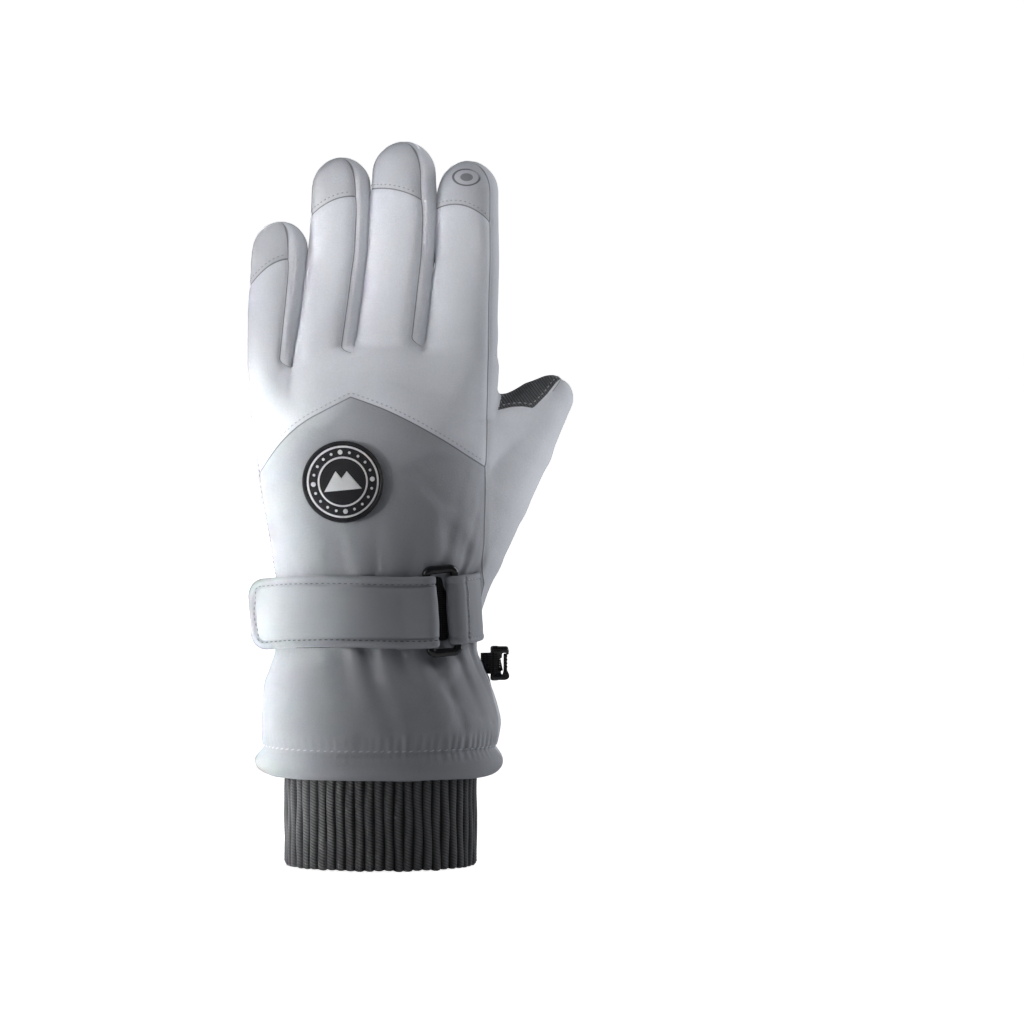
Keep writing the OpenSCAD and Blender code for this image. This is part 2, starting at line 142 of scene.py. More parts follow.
CROTCH = [("pinky", "ring", 206.8), ("ring", "middle", 216.6), ("middle", "index", 215.8)]
HAND = [  # z, cx, a, b
    (30, -1.2, 48.5, 34.5), (42, -1.2, 49.4, 35.2), (52, -1.0, 49.7, 35.4), (60, -0.7, 50.2, 35.2), (68, -1.1, 49.2, 33.8),
    (76, -1.7, 47.6, 31.2), (84, -2.0, 45.0, 27.2), (90, -1.9, 42.8, 24.0), (96, -1.8, 41.9, 22.8), (108, -1.8, 41.6, 22.4),
    (120, -1.8, 42.5, 23.0), (131, -1.6, 44.3, 24.4), (146, -2.2, 46.1, 23.8), (162, -3.0, 47.6, 21.4), (182, -3.2, 49.7, 18.0),
    (200, -3.1, 51.6, 14.9), (214, -3.0, 51.9, 12.6), (230, -3.0, 51.9, 12.0)]


def hk(i):
    return [(h[0], h[i]) for h in HAND]


def yaxis(z):
    """The sleeves curl a little towards the palm."""
    return 4.0 * np.clip((z - 195) / 105, 0, 1.2) ** 2


def finger_edges(n, z):
    g = FG[n]
    cx, w = interp(z, g["cx"]), interp(z, g["w"])
    return cx - w, cx + w


def finger_local(n, x, y, z):
    l, r = finger_edges(n, z)
    i = FN.index(n)
    for j, side in ((i - 1, -1), (i + 1, 1)):
        if 0 <= j < 4:
            l2, r2 = finger_edges(FN[j], z)
            xm = (r2 + l) / 2 if side < 0 else (r + l2) / 2
            fade = smooth((min(FG[n]["top"], FG[FN[j]]["top"]) - 8 - z) / 16)
            if side < 0:
                l = l + fade * (np.minimum(l, xm - 0.9) - l)
            else:
                r = r + fade * (np.maximum(r, xm + 0.9) - r)
    return x - (l + r) / 2, y - yaxis(z), (r - l) / 2


def finger_sdf(n, x, y, z):
    g = FG[n]
    u, v, w = finger_local(n, x, y, z)
    e = 2.45
    F = ((np.abs(u) / w) ** e + (np.abs(v) / g["d"]) ** e) ** (1 / e)
    zc = g["top"] - 1.12 * np.mean([k[1] for k in g["w"][-2:]])
    t = np.clip((z - zc) / (g["top"] - zc), 0, None)
    F = (F ** 2.15 + t ** 2.15) ** (1 / 2.15)
    return (F - 1) * 11.0


def loft_F(x, y, z, da=0.0, n=2.3):
    cx, a, b = interp(z, hk(1)), interp(z, hk(2)) + da, interp(z, hk(3)) + da
    return ((np.abs(x - cx) / a) ** n + (np.abs(y) / b) ** n) ** (1 / n), a, b


THUMB = [((31.0, 2, 111.5), 10.5), ((38.6, 5, 129.8), 12.1), ((49.2, 8, 153.6), 12.6), ((60.6, 10, 174.8), 11.3), ((71.6, 11, 196.2), 9.3)]
WEB = [((40, 2, 176.5), 9.5), ((53, 6, 185.5), 9.6), ((65.4, 9.5, 191.6), 11.4)]


def cone_sdf(x, y, z, a, ra, b, rb):
    a, b = np.array(a, float), np.array(b, float)
    d = b - a
    L2 = d @ d
    t = np.clip(((x - a[0]) * d[0] + (y - a[1]) * d[1] + (z - a[2]) * d[2]) / L2, 0, 1)
    r = ra + (rb - ra) * t
    return np.sqrt((x - a[0] - t * d[0]) ** 2 + (y - a[1] - t * d[1]) ** 2 + (z - a[2] - t * d[2]) ** 2) - r


def slit_x(l, r, y, z):
    """The plane between two fingers leans a little, so that nothing shows through it."""
    return (finger_edges(l, z)[1] + finger_edges(r, z)[0]) / 2 + 0.045 * (y - yaxis(z))


def thumb_sdf(x, y, z):
    d = None
    for (a, ra), (b, rb) in zip(THUMB, THUMB[1:]):
        c = cone_sdf(x, y, z, a, ra, b, rb)
        d = c if d is None else smin(d, c, 1.6)
    for (a, ra), (b, rb) in zip(WEB, WEB[1:]):
        d = smin(d, cone_sdf(x, y, z, a, ra, b, rb), 2.4)
    return d


def glove_sdf(x, y, z):
    F, a, b = loft_F(x, y, z)
    d = (F - 1) * (0.62 * a * b / np.sqrt((a * a + b * b) / 2) + 0.38 * b)
    ztop = np.interp(x, [-60, -40, -34, -14, -8, 15, 20, 60], [205, 206, 207, 216, 216.3, 216, 215.5, 214])
    d = smax(d, z - ztop, 5.0)
    thumb = thumb_sdf(x, y, z)
    d = smin(d, thumb, 6.5)
    # rolled hem
    Fh, ah, bh = loft_F(x, y, z * 0 + 44.0, da=-5.2)
    dr = (Fh - 1) * (0.62 * ah * bh / np.sqrt((ah * ah + bh * bh) / 2) + 0.38 * bh)
    hem = np.sqrt(dr ** 2 + ((z - 44.0) * 1.02) ** 2) - 6.0
    d = smax(d, 43.5 - z, 1.0)
    d = smin(d, hem, 1.2)
    fing = None
    for n in FN:
        f = finger_sdf(n, x, y, z)
        f = np.maximum(f, 188 - z)
        d = smin(d, f, 1.6 + 4.2 * smooth((224 - z) / 10) * smooth((46 - np.abs(x + 3)) / 8))
        fing = f
    # the slits between neighbouring fingers
    for l, r, zc in CROTCH:
        s = np.abs(x - slit_x(l, r, y, z)) - np.clip((z - zc) * 0.06, 0, 0.36)
        d = smax(d, -np.maximum(s, zc - z), 0.9)
    return d


def cavity_sdf(x, y, z):
    F, a, b = loft_F(x, y, np.clip(z, 52, 300), da=-4.6)
    d = (F - 1) * b * 0.9
    d = np.where(z > 66, d, np.minimum(d, 0.9 * 27.5 * ((((np.abs(x) / 39.2) ** 2.35 + (np.abs(y) / 27.6) ** 2.35) ** (1 / 2.35)) - 1)))
    rib = 27.5 * ((((np.abs(x) / 39.2) ** 2.35 + (np.abs(y) / 27.6) ** 2.35) ** (1 / 2.35)) - 1)
    d = np.where(z < 60, rib, smax(d, rib + (z - 60) * -0.6, 3))
    return smax(d, z - 188, 6)


def surface_nets(D, origin, h):
    s = D < 0
    sh = np.array(D.shape)
    cnt = np.zeros(sh - 1, np.uint8)
    corners = [(i, j, k) for i in (0, 1) for j in (0, 1) for k in (0, 1)]
    for i, j, k in corners:
        cnt += s[i:sh[0] - 1 + i, j:sh[1] - 1 + j, k:sh[2] - 1 + k]
    act = (cnt > 0) & (cnt < 8)
    ci = np.argwhere(act)
    idx = np.full(act.shape, -1, np.int64)
    idx[act] = np.arange(len(ci))
    pos = np.zeros((len(ci), 3))
    num = np.zeros(len(ci))
    for a in corners:
        for ax in range(3):
            if a[ax] == 1:
                continue
            b = list(a); b[ax] = 1
            da = D[ci[:, 0] + a[0], ci[:, 1] + a[1], ci[:, 2] + a[2]].astype(float)
            db = D[ci[:, 0] + b[0], ci[:, 1] + b[1], ci[:, 2] + b[2]].astype(float)
            m = (da < 0) != (db < 0)
            t = np.where(m, da / np.where(m, da - db, 1), 0)
            p = np.array(a, float)[None, :].repeat(len(ci), 0)
            p[:, ax] += t
            pos += p * m[:, None]
            num += m
    V = (ci + pos / num[:, None]) * h + np.array(origin)
    quads = []
    for ax in range(3):
        o1, o2 = (ax + 1) % 3, (ax + 2) % 3
        A = [slice(None)] * 3; B = [slice(None)] * 3
        A[ax] = slice(0, sh[ax] - 1); B[ax] = slice(1, sh[ax])
        sa, sb = s[tuple(A)], s[tuple(B)]
        e = np.argwhere(sa != sb)
        e = e[(e[:, o1] > 0) & (e[:, o2] > 0) & (e[:, o1] < sh[o1] - 1) & (e[:, o2] < sh[o2] - 1)]
        flip = sa[e[:, 0], e[:, 1], e[:, 2]]
        q = []
        for d1, d2 in ((-1, -1), (0, -1), (0, 0), (-1, 0)):
            c = e.copy(); c[:, o1] += d1; c[:, o2] += d2
            q.append(idx[c[:, 0], c[:, 1], c[:, 2]])
        q = np.stack(q, 1)
        q[~flip] = q[~flip][:, ::-1]
        quads.append(q)
    return V, np.concatenate(quads)


def edges_of(Q):
    e = np.concatenate([Q[:, [0, 1]], Q[:, [1, 2]], Q[:, [2, 3]], Q[:, [3, 0]]])
    e.sort(1)
    return np.unique(e, axis=0)


def laplace(V, E, it, lam=0.5, mu=None):
    n = len(V)
    deg = np.bincount(E.ravel(), minlength=n).astype(float)
    for k in range(it):
        f = lam if (mu is None or k % 2 == 0) else mu
        s = np.zeros_like(V)
        for c in range(V.shape[1]):
            s[:, c] = np.bincount(E[:, 0], V[E[:, 1], c], n) + np.bincount(E[:, 1], V[E[:, 0], c], n)
        V = V + f * (s / deg[:, None] - V)
    return V


def normals_of(V, Q):
    d1, d2 = V[Q[:, 2]] - V[Q[:, 0]], V[Q[:, 3]] - V[Q[:, 1]]
    fn = np.cross(d1, d2)
    N = np.zeros_like(V)
    for c in range(3):
        for k in range(4):
            N[:, c] += np.bincount(Q[:, k], fn[:, c], len(V))
    return N / np.maximum(np.linalg.norm(N, axis=1), 1e-9)[:, None]


def glove_grid(h, cavity=True):
    lo, hi = np.array([-63, -42, 34.0]), np.array([86, 42, 308.0])
    ax = [np.arange(lo[i], hi[i], h, dtype=np.float32) for i in range(3)]
    D = np.empty([len(a) for a in ax], np.float32)
    X, Y = np.meshgrid(ax[0], ax[1], indexing="ij")
    for k in range(0, len(ax[2]), 16):  # slabs of z keep the arrays small
        zz = ax[2][k:k + 16]
        x, y, z = X[:, :, None] + 0 * zz, Y[:, :, None] + 0 * zz, zz + 0 * X[:, :, None]
        d = glove_sdf(x, y, z)
        if cavity:
            d = smax(d, -cavity_sdf(x, y, z), 0.6)
        D[:, :, k:k + 16] = d
    return D, lo


H = 0.9
D, lo = glove_grid(H)
V, Q = surface_nets(D, lo, H)
E = edges_of(Q)
V = laplace(V, E, 6, 0.5, -0.52)
N = normals_of(V, Q)
log("surface", len(V), len(Q))

# ------------------------------------------------------------------ fields on the surface
x, y, z = V.T
floc = {n: finger_local(n, x, y, z) for n in FN}
fs = np.stack([finger_sdf(n, x, y, z) for n in FN])
fid = np.zeros(len(V), int)
for l_, r_, _ in CROTCH:
    fid += (x > slit_x(l_, r_, y, z)).astype(int)
gate = np.array([207.5, 212.5, 216.5, 216.0])[fid]  # where each finger leaves the hand
tf = smooth((z - gate + 3) / 9.0)
thumb_d = thumb_sdf(x, y, z)
F0, a0, b0 = loft_F(x, y, z)
hand_d = (F0 - 1) * b0
onthumb = smooth((hand_d - 1.5) / 5.0) * (z < 208) * (x > 38) * (z > 118)
cavd = cavity_sdf(x, y, z)
inner = (cavd > -1.0) & (cavd < 1.2) & (z < 190) & (N[:, 0] * (x + 2) + N[:, 1] * y * 2 < 0)

# dorsal panel: positive inside
yseam = np.interp(x, [-55, 0, 44, 52], [1.5, -1.0, -5.5, -6.5])
dor_hand = yseam - y
dor_f, pal_f = np.zeros(len(V)), np.zeros(len(V))
for i, n in enumerate(FN):
    u, v, w = floc[n]
    phi = np.degrees(np.arctan2(-v / FG[n]["d"], u / w))
    psi = np.where(phi < -90, phi + 360, phi)
    m = fid == i
    tipr = np.clip((FG[n]["top"] - z) / 14.0, 0.25, 1)
    ps = {"pinky": 70, "ring": 60, "middle": 57, "index": 43}[n]
    dr = 0.5 * (182 - ps)
    cen = 0.5 * (182 + ps)
    dd = 12 * np.radians(dr - np.abs(psi - cen)) * tipr
    pp = 12 * np.radians(57 - np.abs((phi + 90 + 180) % 360 - 180)) * tipr
    pp = np.minimum(pp, (FG[n]["top"] - 3.2 - z) * 0.8 + np.clip(v, 0, 20) * 0.55)
    dor_f[m], pal_f[m] = dd[m], pp[m]
xs = np.interp(z, [100, 118, 124, 136, 147, 169, 206, 217, 230], [47, 43.5, 42.6, 43.5, 43.7, 44.5, 45.1, 45.4, 45.8])
dor_hand = np.where((z > 110) & (x > 36), np.minimum(dor_hand, (xs - x) * 0.9), dor_hand)
a_dor = dor_hand * (1 - tf) + dor_f * tf
a_pal = (y - yseam) * (1 - tf) + pal_f * tf
# chevron: positive below


def rounded(pts, it=3, closed=False):
    """Corner cutting turns a rough outline into a curve; open lines keep their ends."""
    P = np.array(pts, float)
    for _ in range(it):
        A, B = (P, np.roll(P, -1, 0)) if closed else (P[:-1], P[1:])
        R = np.stack([0.75 * A + 0.25 * B, 0.25 * A + 0.75 * B], 1).reshape(-1, 2)
        P = R if closed else np.concatenate([P[:1], R[1:-1], P[-1:]])
    return P


CH = [(-70, 136), (-50.8, 165.5), (-45, 174.5), (-39.5, 181), (-31.5, 187.6), (-22, 192.6), (-12.2, 197.6), (3.4, 192.2), (24.8, 180.8), (44.1, 168), (60, 157)]
CH = np.concatenate([rounded(CH[:7]), rounded(CH[6:])[1:]])
zch = np.interp(x, *np.array(CH).T)
slope = (np.interp(x + 1, *np.array(CH).T) - np.interp(x - 1, *np.array(CH).T)) / 2
a_chev = (zch - z) / np.sqrt(1 + slope ** 2)
CAP = {"pinky": (-54.2, 244.0, -36.5, 254.9), "ring": (-29.4, 272.6, -10.5, 281.0), "middle": (-4.2, 283.9, 17.2, 279.7), "index": (25.2, 276.4, 46.2, 270.1)}
a_cap = np.full(len(V), -30.0)
for i, n in enumerate(FN):
    x1, z1, x2, z2 = CAP[n]
    s = (z2 - z1) / (x2 - x1)
    arch = {"pinky": 3.2, "ring": 2.5, "middle": 2.0, "index": 3.8}[n] * np.clip(1 - ((x - (x1 + x2) / 2) / ((x2 - x1) / 2)) ** 2, -0.5, 1)
    a_cap[fid == i] = ((z - z1 - s * (x - x1) - arch) / math.hypot(1, s))[fid == i]
a_cap = np.where(z > 225, a_cap, -30)


def poly_sd(px, pz, pts):
    """Signed distance to a polygon in the x-z plane, positive inside."""
    P = np.array(pts, float)
    d = np.full(len(px), 1e9)
    inside = np.zeros(len(px), bool)
    for a, b in zip(P, np.roll(P, -1, 0)):
        e = b - a
        t = np.clip(((px - a[0]) * e[0] + (pz - a[1]) * e[1]) / (e @ e), 0, 1)
        d = np.minimum(d, np.hypot(px - a[0] - t * e[0], pz - a[1] - t * e[1]))
        c = ((a[1] > pz) != (b[1] > pz)) & (px < (b[0] - a[0]) * (pz - a[1]) / ((b[1] - a[1]) if b[1] != a[1] else 1e-9) + a[0])
        inside ^= c
    return np.where(inside, d, -d)


# outlines on the palm (x towards the thumb, z up)
PATCH = [(-58, 200), (-46, 199.5), (-36, 198.6), (-27.5, 198.2), (-16, 201), (-5, 203.7), (8, 202.4), (20, 205), (26.7, 207), (29.5, 204.5), (35, 197), (41.5, 187.6),
         (52, 187), (52, 189), (41.8, 187.7), (31, 186.6), (20.4, 185.2), (11, 183.5), (5, 181), (1, 178), (-0.6, 173.5), (0.4, 168.5), (3.4, 163.8), (8, 157.5),
         (11, 151.4), (11.8, 146), (11, 140.8), (8, 136.2), (3.6, 131.5), (-3, 127.8), (-9, 125.4), (-17, 122.6), (-26.7, 120.5), (-36, 119.6), (-44, 119.2), (-60, 119)]
CROTCHP = [(29.5, 205.6), (35.5, 204.6), (44, 207.5), (53, 213.5), (60, 216), (60, 186), (52, 192), (47.5, 191.5), (41.6, 188.2), (35, 197)]
patch = np.where(y > -2, poly_sd(x, z, rounded(PATCH, 2, True)), -20)
patch = np.minimum(patch, (y - yseam) + 0.0)
cro = poly_sd(x, z, CROTCHP)
cro = np.minimum(np.minimum(cro, (y - yseam) - 5.5), y - 3.5)
cro = np.where((x > 25) & (fid == 3), cro, -20)
tdark = np.full(len(V), -20.0)
# thumb pad: dorsal edge line and palm edge line, mixed by depth
lineA = poly_sd(x, z, [(47.0, 191.2), (49.6, 191.8), (54.8, 192.8), (59.3, 193.1), (63.8, 192.4), (69.8, 198.3), (75.2, 205.2), (78, 212), (74, 220), (40, 215), (44, 200)])
lineB = poly_sd(x, z, [(47.5, 188), (54.0, 177.5), (62, 184.5), (72, 196), (77.5, 207.5), (74, 220), (40, 215)])
mixw = smooth((y - 4) / 8)
td = lineA * (1 - mixw) + lineB * mixw
tdark = np.where((x > 46.5) & (z < 215) & (thumb_d < 3), np.minimum(np.minimum(td, x - 48.6), (fs[3] - thumb_d) * 0.8 + 2.0), tdark)
pads = np.full(len(V), -20.0)
for i, n, p in ((2, "middle", ((3.5, 268.8), (22.5, 260.0))), (3, "index", ((28.0, 256.2), (49.0, 246.5)))):
    (x1, z1), (x2, z2) = p
    s = (z2 - z1) / (x2 - x1)
    q = np.minimum((z - z1 - s * (x - x1)) / math.hypot(1, s), pal_f)
    pads = np.where(fid == i, q, pads)
pads = np.where(z > 235, pads, -20)
a_dark = np.maximum(np.maximum(patch, cro), np.maximum(tdark, pads))
a_dark = np.where(inner, -20, a_dark)
a_gaunt = yseam - y  # grey back below the wrist
# seams on the thumb, seen from the palm: the main seam and the gusset's arc
SEAM1 = [(77.0, 206.0), (63, 187), (54, 177.5), (41, 163), (25.4, 140), (20.4, 134.8), (17, 124.3), (12.4, 99.5)]
SEAM2 = [(48.5, 192), (38, 185), (23.3, 175.1), (18.3, 160.9), (17.9, 148.3), (20.0, 133.6)]


def line_sd(px, pz, pts):
    """Signed distance to an open line in x-z; the sign is the side."""
    P = np.array(pts, float)
    best = np.full(len(px), 1e9)
    sign = np.ones(len(px))
    for a, b in zip(P, P[1:]):
        e = b - a
        t = np.clip(((px - a[0]) * e[0] + (pz - a[1]) * e[1]) / (e @ e), 0, 1)
        d = np.hypot(px - a[0] - t * e[0], pz - a[1] - t * e[1])
        c = e[0] * (pz - a[1]) - e[1] * (px - a[0])
        m = d < best
        best = np.where(m, d, best)
        sign = np.where(m, np.sign(c), sign)
    return best * sign


palmside = (y > 2) & ~inner
a_s1 = np.where(palmside & (z > 116) & (z < 208), line_sd(x, z, SEAM1), 20)
a_s2 = np.where(palmside & (z > 128) & (z < 194), line_sd(x, z, SEAM2), 20)

# ------------------------------------------------------------------ folds, puckers and grooves
ang = np.arctan2(y / b0, (x - interp(z, hk(1))) / a0)  # 0 at the thumb side, -pi/2 at the back
arc = ang * 38.0  # mm along the cuff
dorsal = smooth((-y - 2) / 8)
palm = smooth((y - 1) / 8)
disp = np.zeros(len(V))


def groove(d, s, A):
    return -A * np.exp(-(d / s) ** 2)


outer = ~inner
# seams between panels
a_s3 = np.where((y < 6) & ~inner & (z > 180) & (z < 208) & (thumb_d < 4) & (x > 54), line_sd(x, z, [(76, 206.5), (69.8, 198.3), (63.8, 192.4), (56.3, 183.6)]), 20)
fm = outer & (z > 118)
disp += np.where(fm, groove(a_s3, 1.0, 0.35) * smooth((z - 180) / 8), 0)
disp += np.where(fm, groove(a_dor, 0.95, 0.55) * smooth((z - 118) / 10), 0)
disp += np.where(fm, groove(a_pal, 0.95, 0.5) * tf, 0)
disp += np.where(fm & (a_dor > -1), groove(a_chev, 0.9, 0.4), 0)
disp += np.where(fm & (a_cap > -6) & (a_dor > -1), groove(a_cap, 0.9, 0.45), 0)
disp += np.where(fm, groove(a_s1, 1.0, 0.55) + groove(a_s2, 0.9, 0.35), 0)
# panels swell a little between their seams
disp += np.where(fm, tf * 0.45 * smooth(np.minimum(np.abs(a_dor), np.abs(a_pal)) / 5), 0)
# patches are a second layer of cloth
disp += np.where(outer, 0.55 * smooth((a_dark + 0.35) / 0.7), 0)
disp += np.where(outer & (a_dark > 0), groove(a_dark - 1.6, 0.8, 0.18), 0)
# gathers above and below the strap on the back
rows = [(-2.38, 3.0, 0.9), (-2.10, 2.2, 0.6), (-1.85, 3.4, 1.3), (-1.55, 2.6, 1.0), (-1.25, 3.0, 0.8), (-0.98, 2.6, 1.2), (-0.72, 2.4, 1.2), (-0.45, 2.4, 0.9)]
for c, wd, A in rows:
    lean = 0.010 * (c + 1.57)
    da = (ang - c - lean * (z - 120)) * 40
    up = np.exp(-np.clip(z - 119, 0, 99) / (9 + 6 * A)) * (z > 105)
    disp += np.where(outer, (-A * 1.25 * np.exp(-(da / wd) ** 2) + A * 0.55 * np.exp(-((da - wd * 1.6) / wd) ** 2)) * up * dorsal, 0)
for c, wd, A in [(-2.55, 3, 0.8), (-2.2, 3.4, 1.3), (-1.88, 2.8, 0.9), (-1.62, 3.4, 1.5), (-1.30, 3.0, 1.1), (-1.02, 3.2, 1.4), (-0.72, 2.6, 1.0), (-0.42, 2.4, 0.9)]:
    da = (ang - c + 0.006 * (z - 90)) * 40
    dn = np.exp(-np.clip(92 - z, 0, 99) / (6 + 7 * A)) * (z < 104)
    disp += np.where(outer, -A * 1.15 * np.exp(-(da / wd) ** 2) * dn * dorsal, 0)
    disp += np.where(outer, A * 0.7 * np.exp(-((da - wd * 1.5) / wd) ** 2) * dn * dorsal, 0)
# elastic rows on the palm side
ER = [101.2, 93.2, 86.2]
wob = hash_noise(np.stack([arc, z * 0, z * 0], 1), 6.0, 5) * 1.2
for k, e in enumerate(ER):
    disp += np.where(outer, groove(z - e - 0.6 * np.sin(arc * 1.1 + k), 1.35, 1.6) * palm, 0)
per = 7.6
ph = 2 * np.pi * (arc + wob) / per
band = np.exp(-((z - 98) / 11.0) ** 2) + 0.45 * np.exp(-((z - 78) / 10.0) ** 2)
zig = np.sin(ph + 0.9 * np.sin((z - 94) * 0.42))
disp += np.where(outer, palm * (1.15 * zig * np.exp(-((z - 97.5) / 10.5) ** 2)), 0)
disp += np.where(outer, palm * 1.6 * np.exp(-((z - 97.2) / 2.2) ** 2) * (0.6 + 0.5 * np.sin(ph * 1.0 + 1.0)), 0)
disp += np.where(outer, palm * 1.35 * np.exp(-((z - 89.7) / 2.0) ** 2) * (0.6 + 0.5 * np.sin(ph * 1.1 + 2.4)), 0)
for c in np.linspace(0.35, 2.8, 9):
    da = (ang - c) * 40 + 2.0 * np.sin(z * 0.11 + c * 7)
    disp += np.where(outer, -1.25 * np.exp(-(da / 2.6) ** 2) * palm * (np.exp(-np.clip(z - 103, 0, 99) / 8.0) * (z > 95) * 0.8 + np.exp(-np.clip(84 - z, 0, 99) / 11.0) * (z < 92)), 0)
# hem: a gathered stitch line and its puckers
hp = 0.5 + 0.5 * np.sin(2 * np.pi * (arc + 0.7 * hash_noise(np.stack([arc, z * 0, z * 0], 1), 4.0, 9)) / 2.7)
low = outer & (z < 66)
disp += np.where(low, groove(z - 50.3, 0.95, 0.95), 0)
disp += np.where(low, (hp - 0.5) * 0.30 * np.exp(-((z - 48.4) / 1.6) ** 2), 0)
disp += np.where(low, (hp - 0.5) * 0.62 * np.exp(-((z - 53.6) / 3.2) ** 2), 0)
# soft unevenness of padded cloth
big = hash_noise(V, 23.0, 1) * 0.55 + hash_noise(V, 11.0, 2) * 0.28 + hash_noise(V, 5.5, 3) * 0.08
disp += np.where(outer, big * (0.55 + 0.5 * (z < 92)), 0)
disp *= np.where(thumb_d < 3, 0.9, 1)
V2 = V + N * disp[:, None]
V2 = laplace(V2, E, 1, 0.25)
log("displaced")


def swell_by_cloth():
    """A coarse copy of the shell is blown up a little by a cloth simulation that is held at its seams;
    its capped displacement is carried over to the fine mesh."""
    hc = 4.2
    Dc, loc = glove_grid(hc, cavity=False)
    C, CQ = surface_nets(Dc, loc, hc)
    CE = edges_of(CQ)
    C = laplace(C, CE, 2, 0.5)
    me = bpy.data.meshes.new("sim"); me.from_pydata((C * MM).tolist(), [], CQ.tolist())
    ob = bpy.data.objects.new("sim", me); COL.objects.link(ob)
    cx, cy, cz = C.T
    cfs = np.stack([finger_sdf(n, cx, cy, cz) for n in FN]); cf = cfs.argmin(0)
    hold = np.zeros(len(C))
    hold = np.maximum(hold, np.exp(-((cz - 106) / 9.0) ** 2))
    hold = np.maximum(hold, (cz < 53) * 1.0)
    hold = np.maximum(hold, 0.9 * np.exp(-((np.interp(cx, [-55, 0, 44, 52], [1.5, -1.0, -5.5, -6.5]) - cy) / 3.0) ** 2) * (cz < 214))
    hold = np.maximum(hold, 0.75 * smooth((cz - 214) / 10))
    vg = ob.vertex_groups.new(name="hold")
    for i, w in enumerate(hold):
        vg.add([i], float(w), "REPLACE")
    md = ob.modifiers.new("Cloth", "CLOTH")
    s = md.settings
    s.quality = 6; s.mass = 0.15
    s.tension_stiffness = 25; s.compression_stiffness = 6; s.shear_stiffness = 8; s.bending_stiffness = 0.6
    s.use_pressure = True; s.uniform_pressure_force = 4.0
    s.vertex_group_mass = "hold"; s.pin_stiffness = 1.0
    s.shrink_min = -0.035
    s.effector_weights.gravity = 0
    md.collision_settings.use_self_collision = False
    sc = bpy.context.scene
    for f in range(1, 21):
        sc.frame_set(f)
    ev = ob.evaluated_get(bpy.context.evaluated_depsgraph_get())
    S = np.zeros(len(C) * 3, np.float32); ev.data.vertices.foreach_get("co", S)
    S = S.reshape(-1, 3) / MM - C
    sc.frame_set(1)
    bpy.data.objects.remove(ob); bpy.data.meshes.remove(me)
    L = np.linalg.norm(S, axis=1)
    cap = 3.0
    S *= (np.minimum(L, cap) / np.maximum(L, 1e-6))[:, None]
    S = laplace(S, CE, 1, 0.3)
    log("cloth moved, mean/max mm", round(float(L.mean()), 2), round(float(L.max()), 2))
    return C, S


from mathutils.kdtree import KDTree
C_, S_ = swell_by_cloth()
kd = KDTree(len(C_))
for i_, p_ in enumerate(C_):
    kd.insert(p_, i_)
kd.balance()
mov = np.zeros_like(V2)
for i_ in np.where(~inner & (z > 53))[0]:
    hit = kd.find_n(V[i_], 5)
    w_ = np.array([1 / (h_[2] + 0.8) ** 2 for h_ in hit])
    mov[i_] = (w_[:, None] * S_[[h_[1] for h_ in hit]]).sum(0) / w_.sum()
up_ = np.clip((mov * N).sum(1), -0.3, 1.5) * (1 - 0.8 * smooth((z - 194) / 14))
up_ *= np.where((x > 38) & (z > 112), 1 - smooth((6 - thumb_d) / 6), 1)
up_ *= np.where(z > 118, 0.25 + 0.75 * smooth(np.minimum(np.abs(a_dor), np.abs(a_chev)) / 6), 1)
up_ = laplace(up_[:, None], E, 6, 0.5)
log("swell used, mean/max mm", round(float(up_.mean()), 2), round(float(up_.max()), 2))
V2 = V2 + N * up_
log("cloth swell carried over")

# ------------------------------------------------------------------ cut the shell into its pieces
PL = {}  # name -> (start point, end point) of the blend, mm


def jp(name):
    j = JOINTS[name]
    return np.array(j["pos_m"]) * 1000, np.array(j["axis"], float)


for n in FN:
    p1, ax = jp(n + "_knuckle")
    p2, _ = jp(n + "_middle")
    d = p2 - p1; d /= np.linalg.norm(d)
    l1 = 8.5 if n == "pinky" else 9.0
    PL[n + "_base"] = (p1 - d * l1, p1 + d * l1, d)
    l2 = 8.5 if n == "pinky" else 10.0
    PL[n + "_tip"] = (p2 - d * l2, p2 + d * l2, d)
pt, _ = jp("thumb_root"); pt2, _ = jp("thumb_bend")
dt = pt2 - pt; dt /= np.linalg.norm(dt)
PL["thumb_base"] = (pt - dt * 9, pt + dt * 10, dt)
PL["thumb_tip"] = (pt2 - dt * 8, pt2 + dt * 9, dt)

# thumb weights: the palm and the web follow the thumb little by little
nA, nB = np.array([0.985, 0, 0.175]), np.array([0.90, 0, 0.436])
q1 = (V - np.array([37.5, 0, 170])) @ nA
q2 = (V - pt2) @ nB
a_t1 = np.minimum(np.minimum(q1 / 16, (z - 145) / 12), (10 - thumb_d) / 8)
a_t1 = np.where((x > 30) & (z < 212) & ~inner, np.where(fs.min(0) < thumb_d, np.minimum(a_t1, (206 - z) / 8), a_t1), -0.5)
w_t1 = smooth(q1 / 16) * smooth((z - 145) / 12) * smooth((10 - thumb_d) / 8) * (a_t1 > 0)
w_t1 = np.where((fs.min(0) < thumb_d) & (x > 30), w_t1 * smooth((206 - z) / 8), w_t1)
w_t2 = smooth((q2 + 4) / 16) * (a_t1 > 0) * smooth((w_t1 - 0.97) / 0.03)
a_t2 = np.where(w_t2 > 0, (q2 + 4) / 16, np.minimum((q2 + 4) / 16, -0.01))
a_grey = np.where(inner, -20, np.minimum(a_dor, a_chev))
a_capz = np.where(inner, -20, np.minimum(a_dor, a_cap))

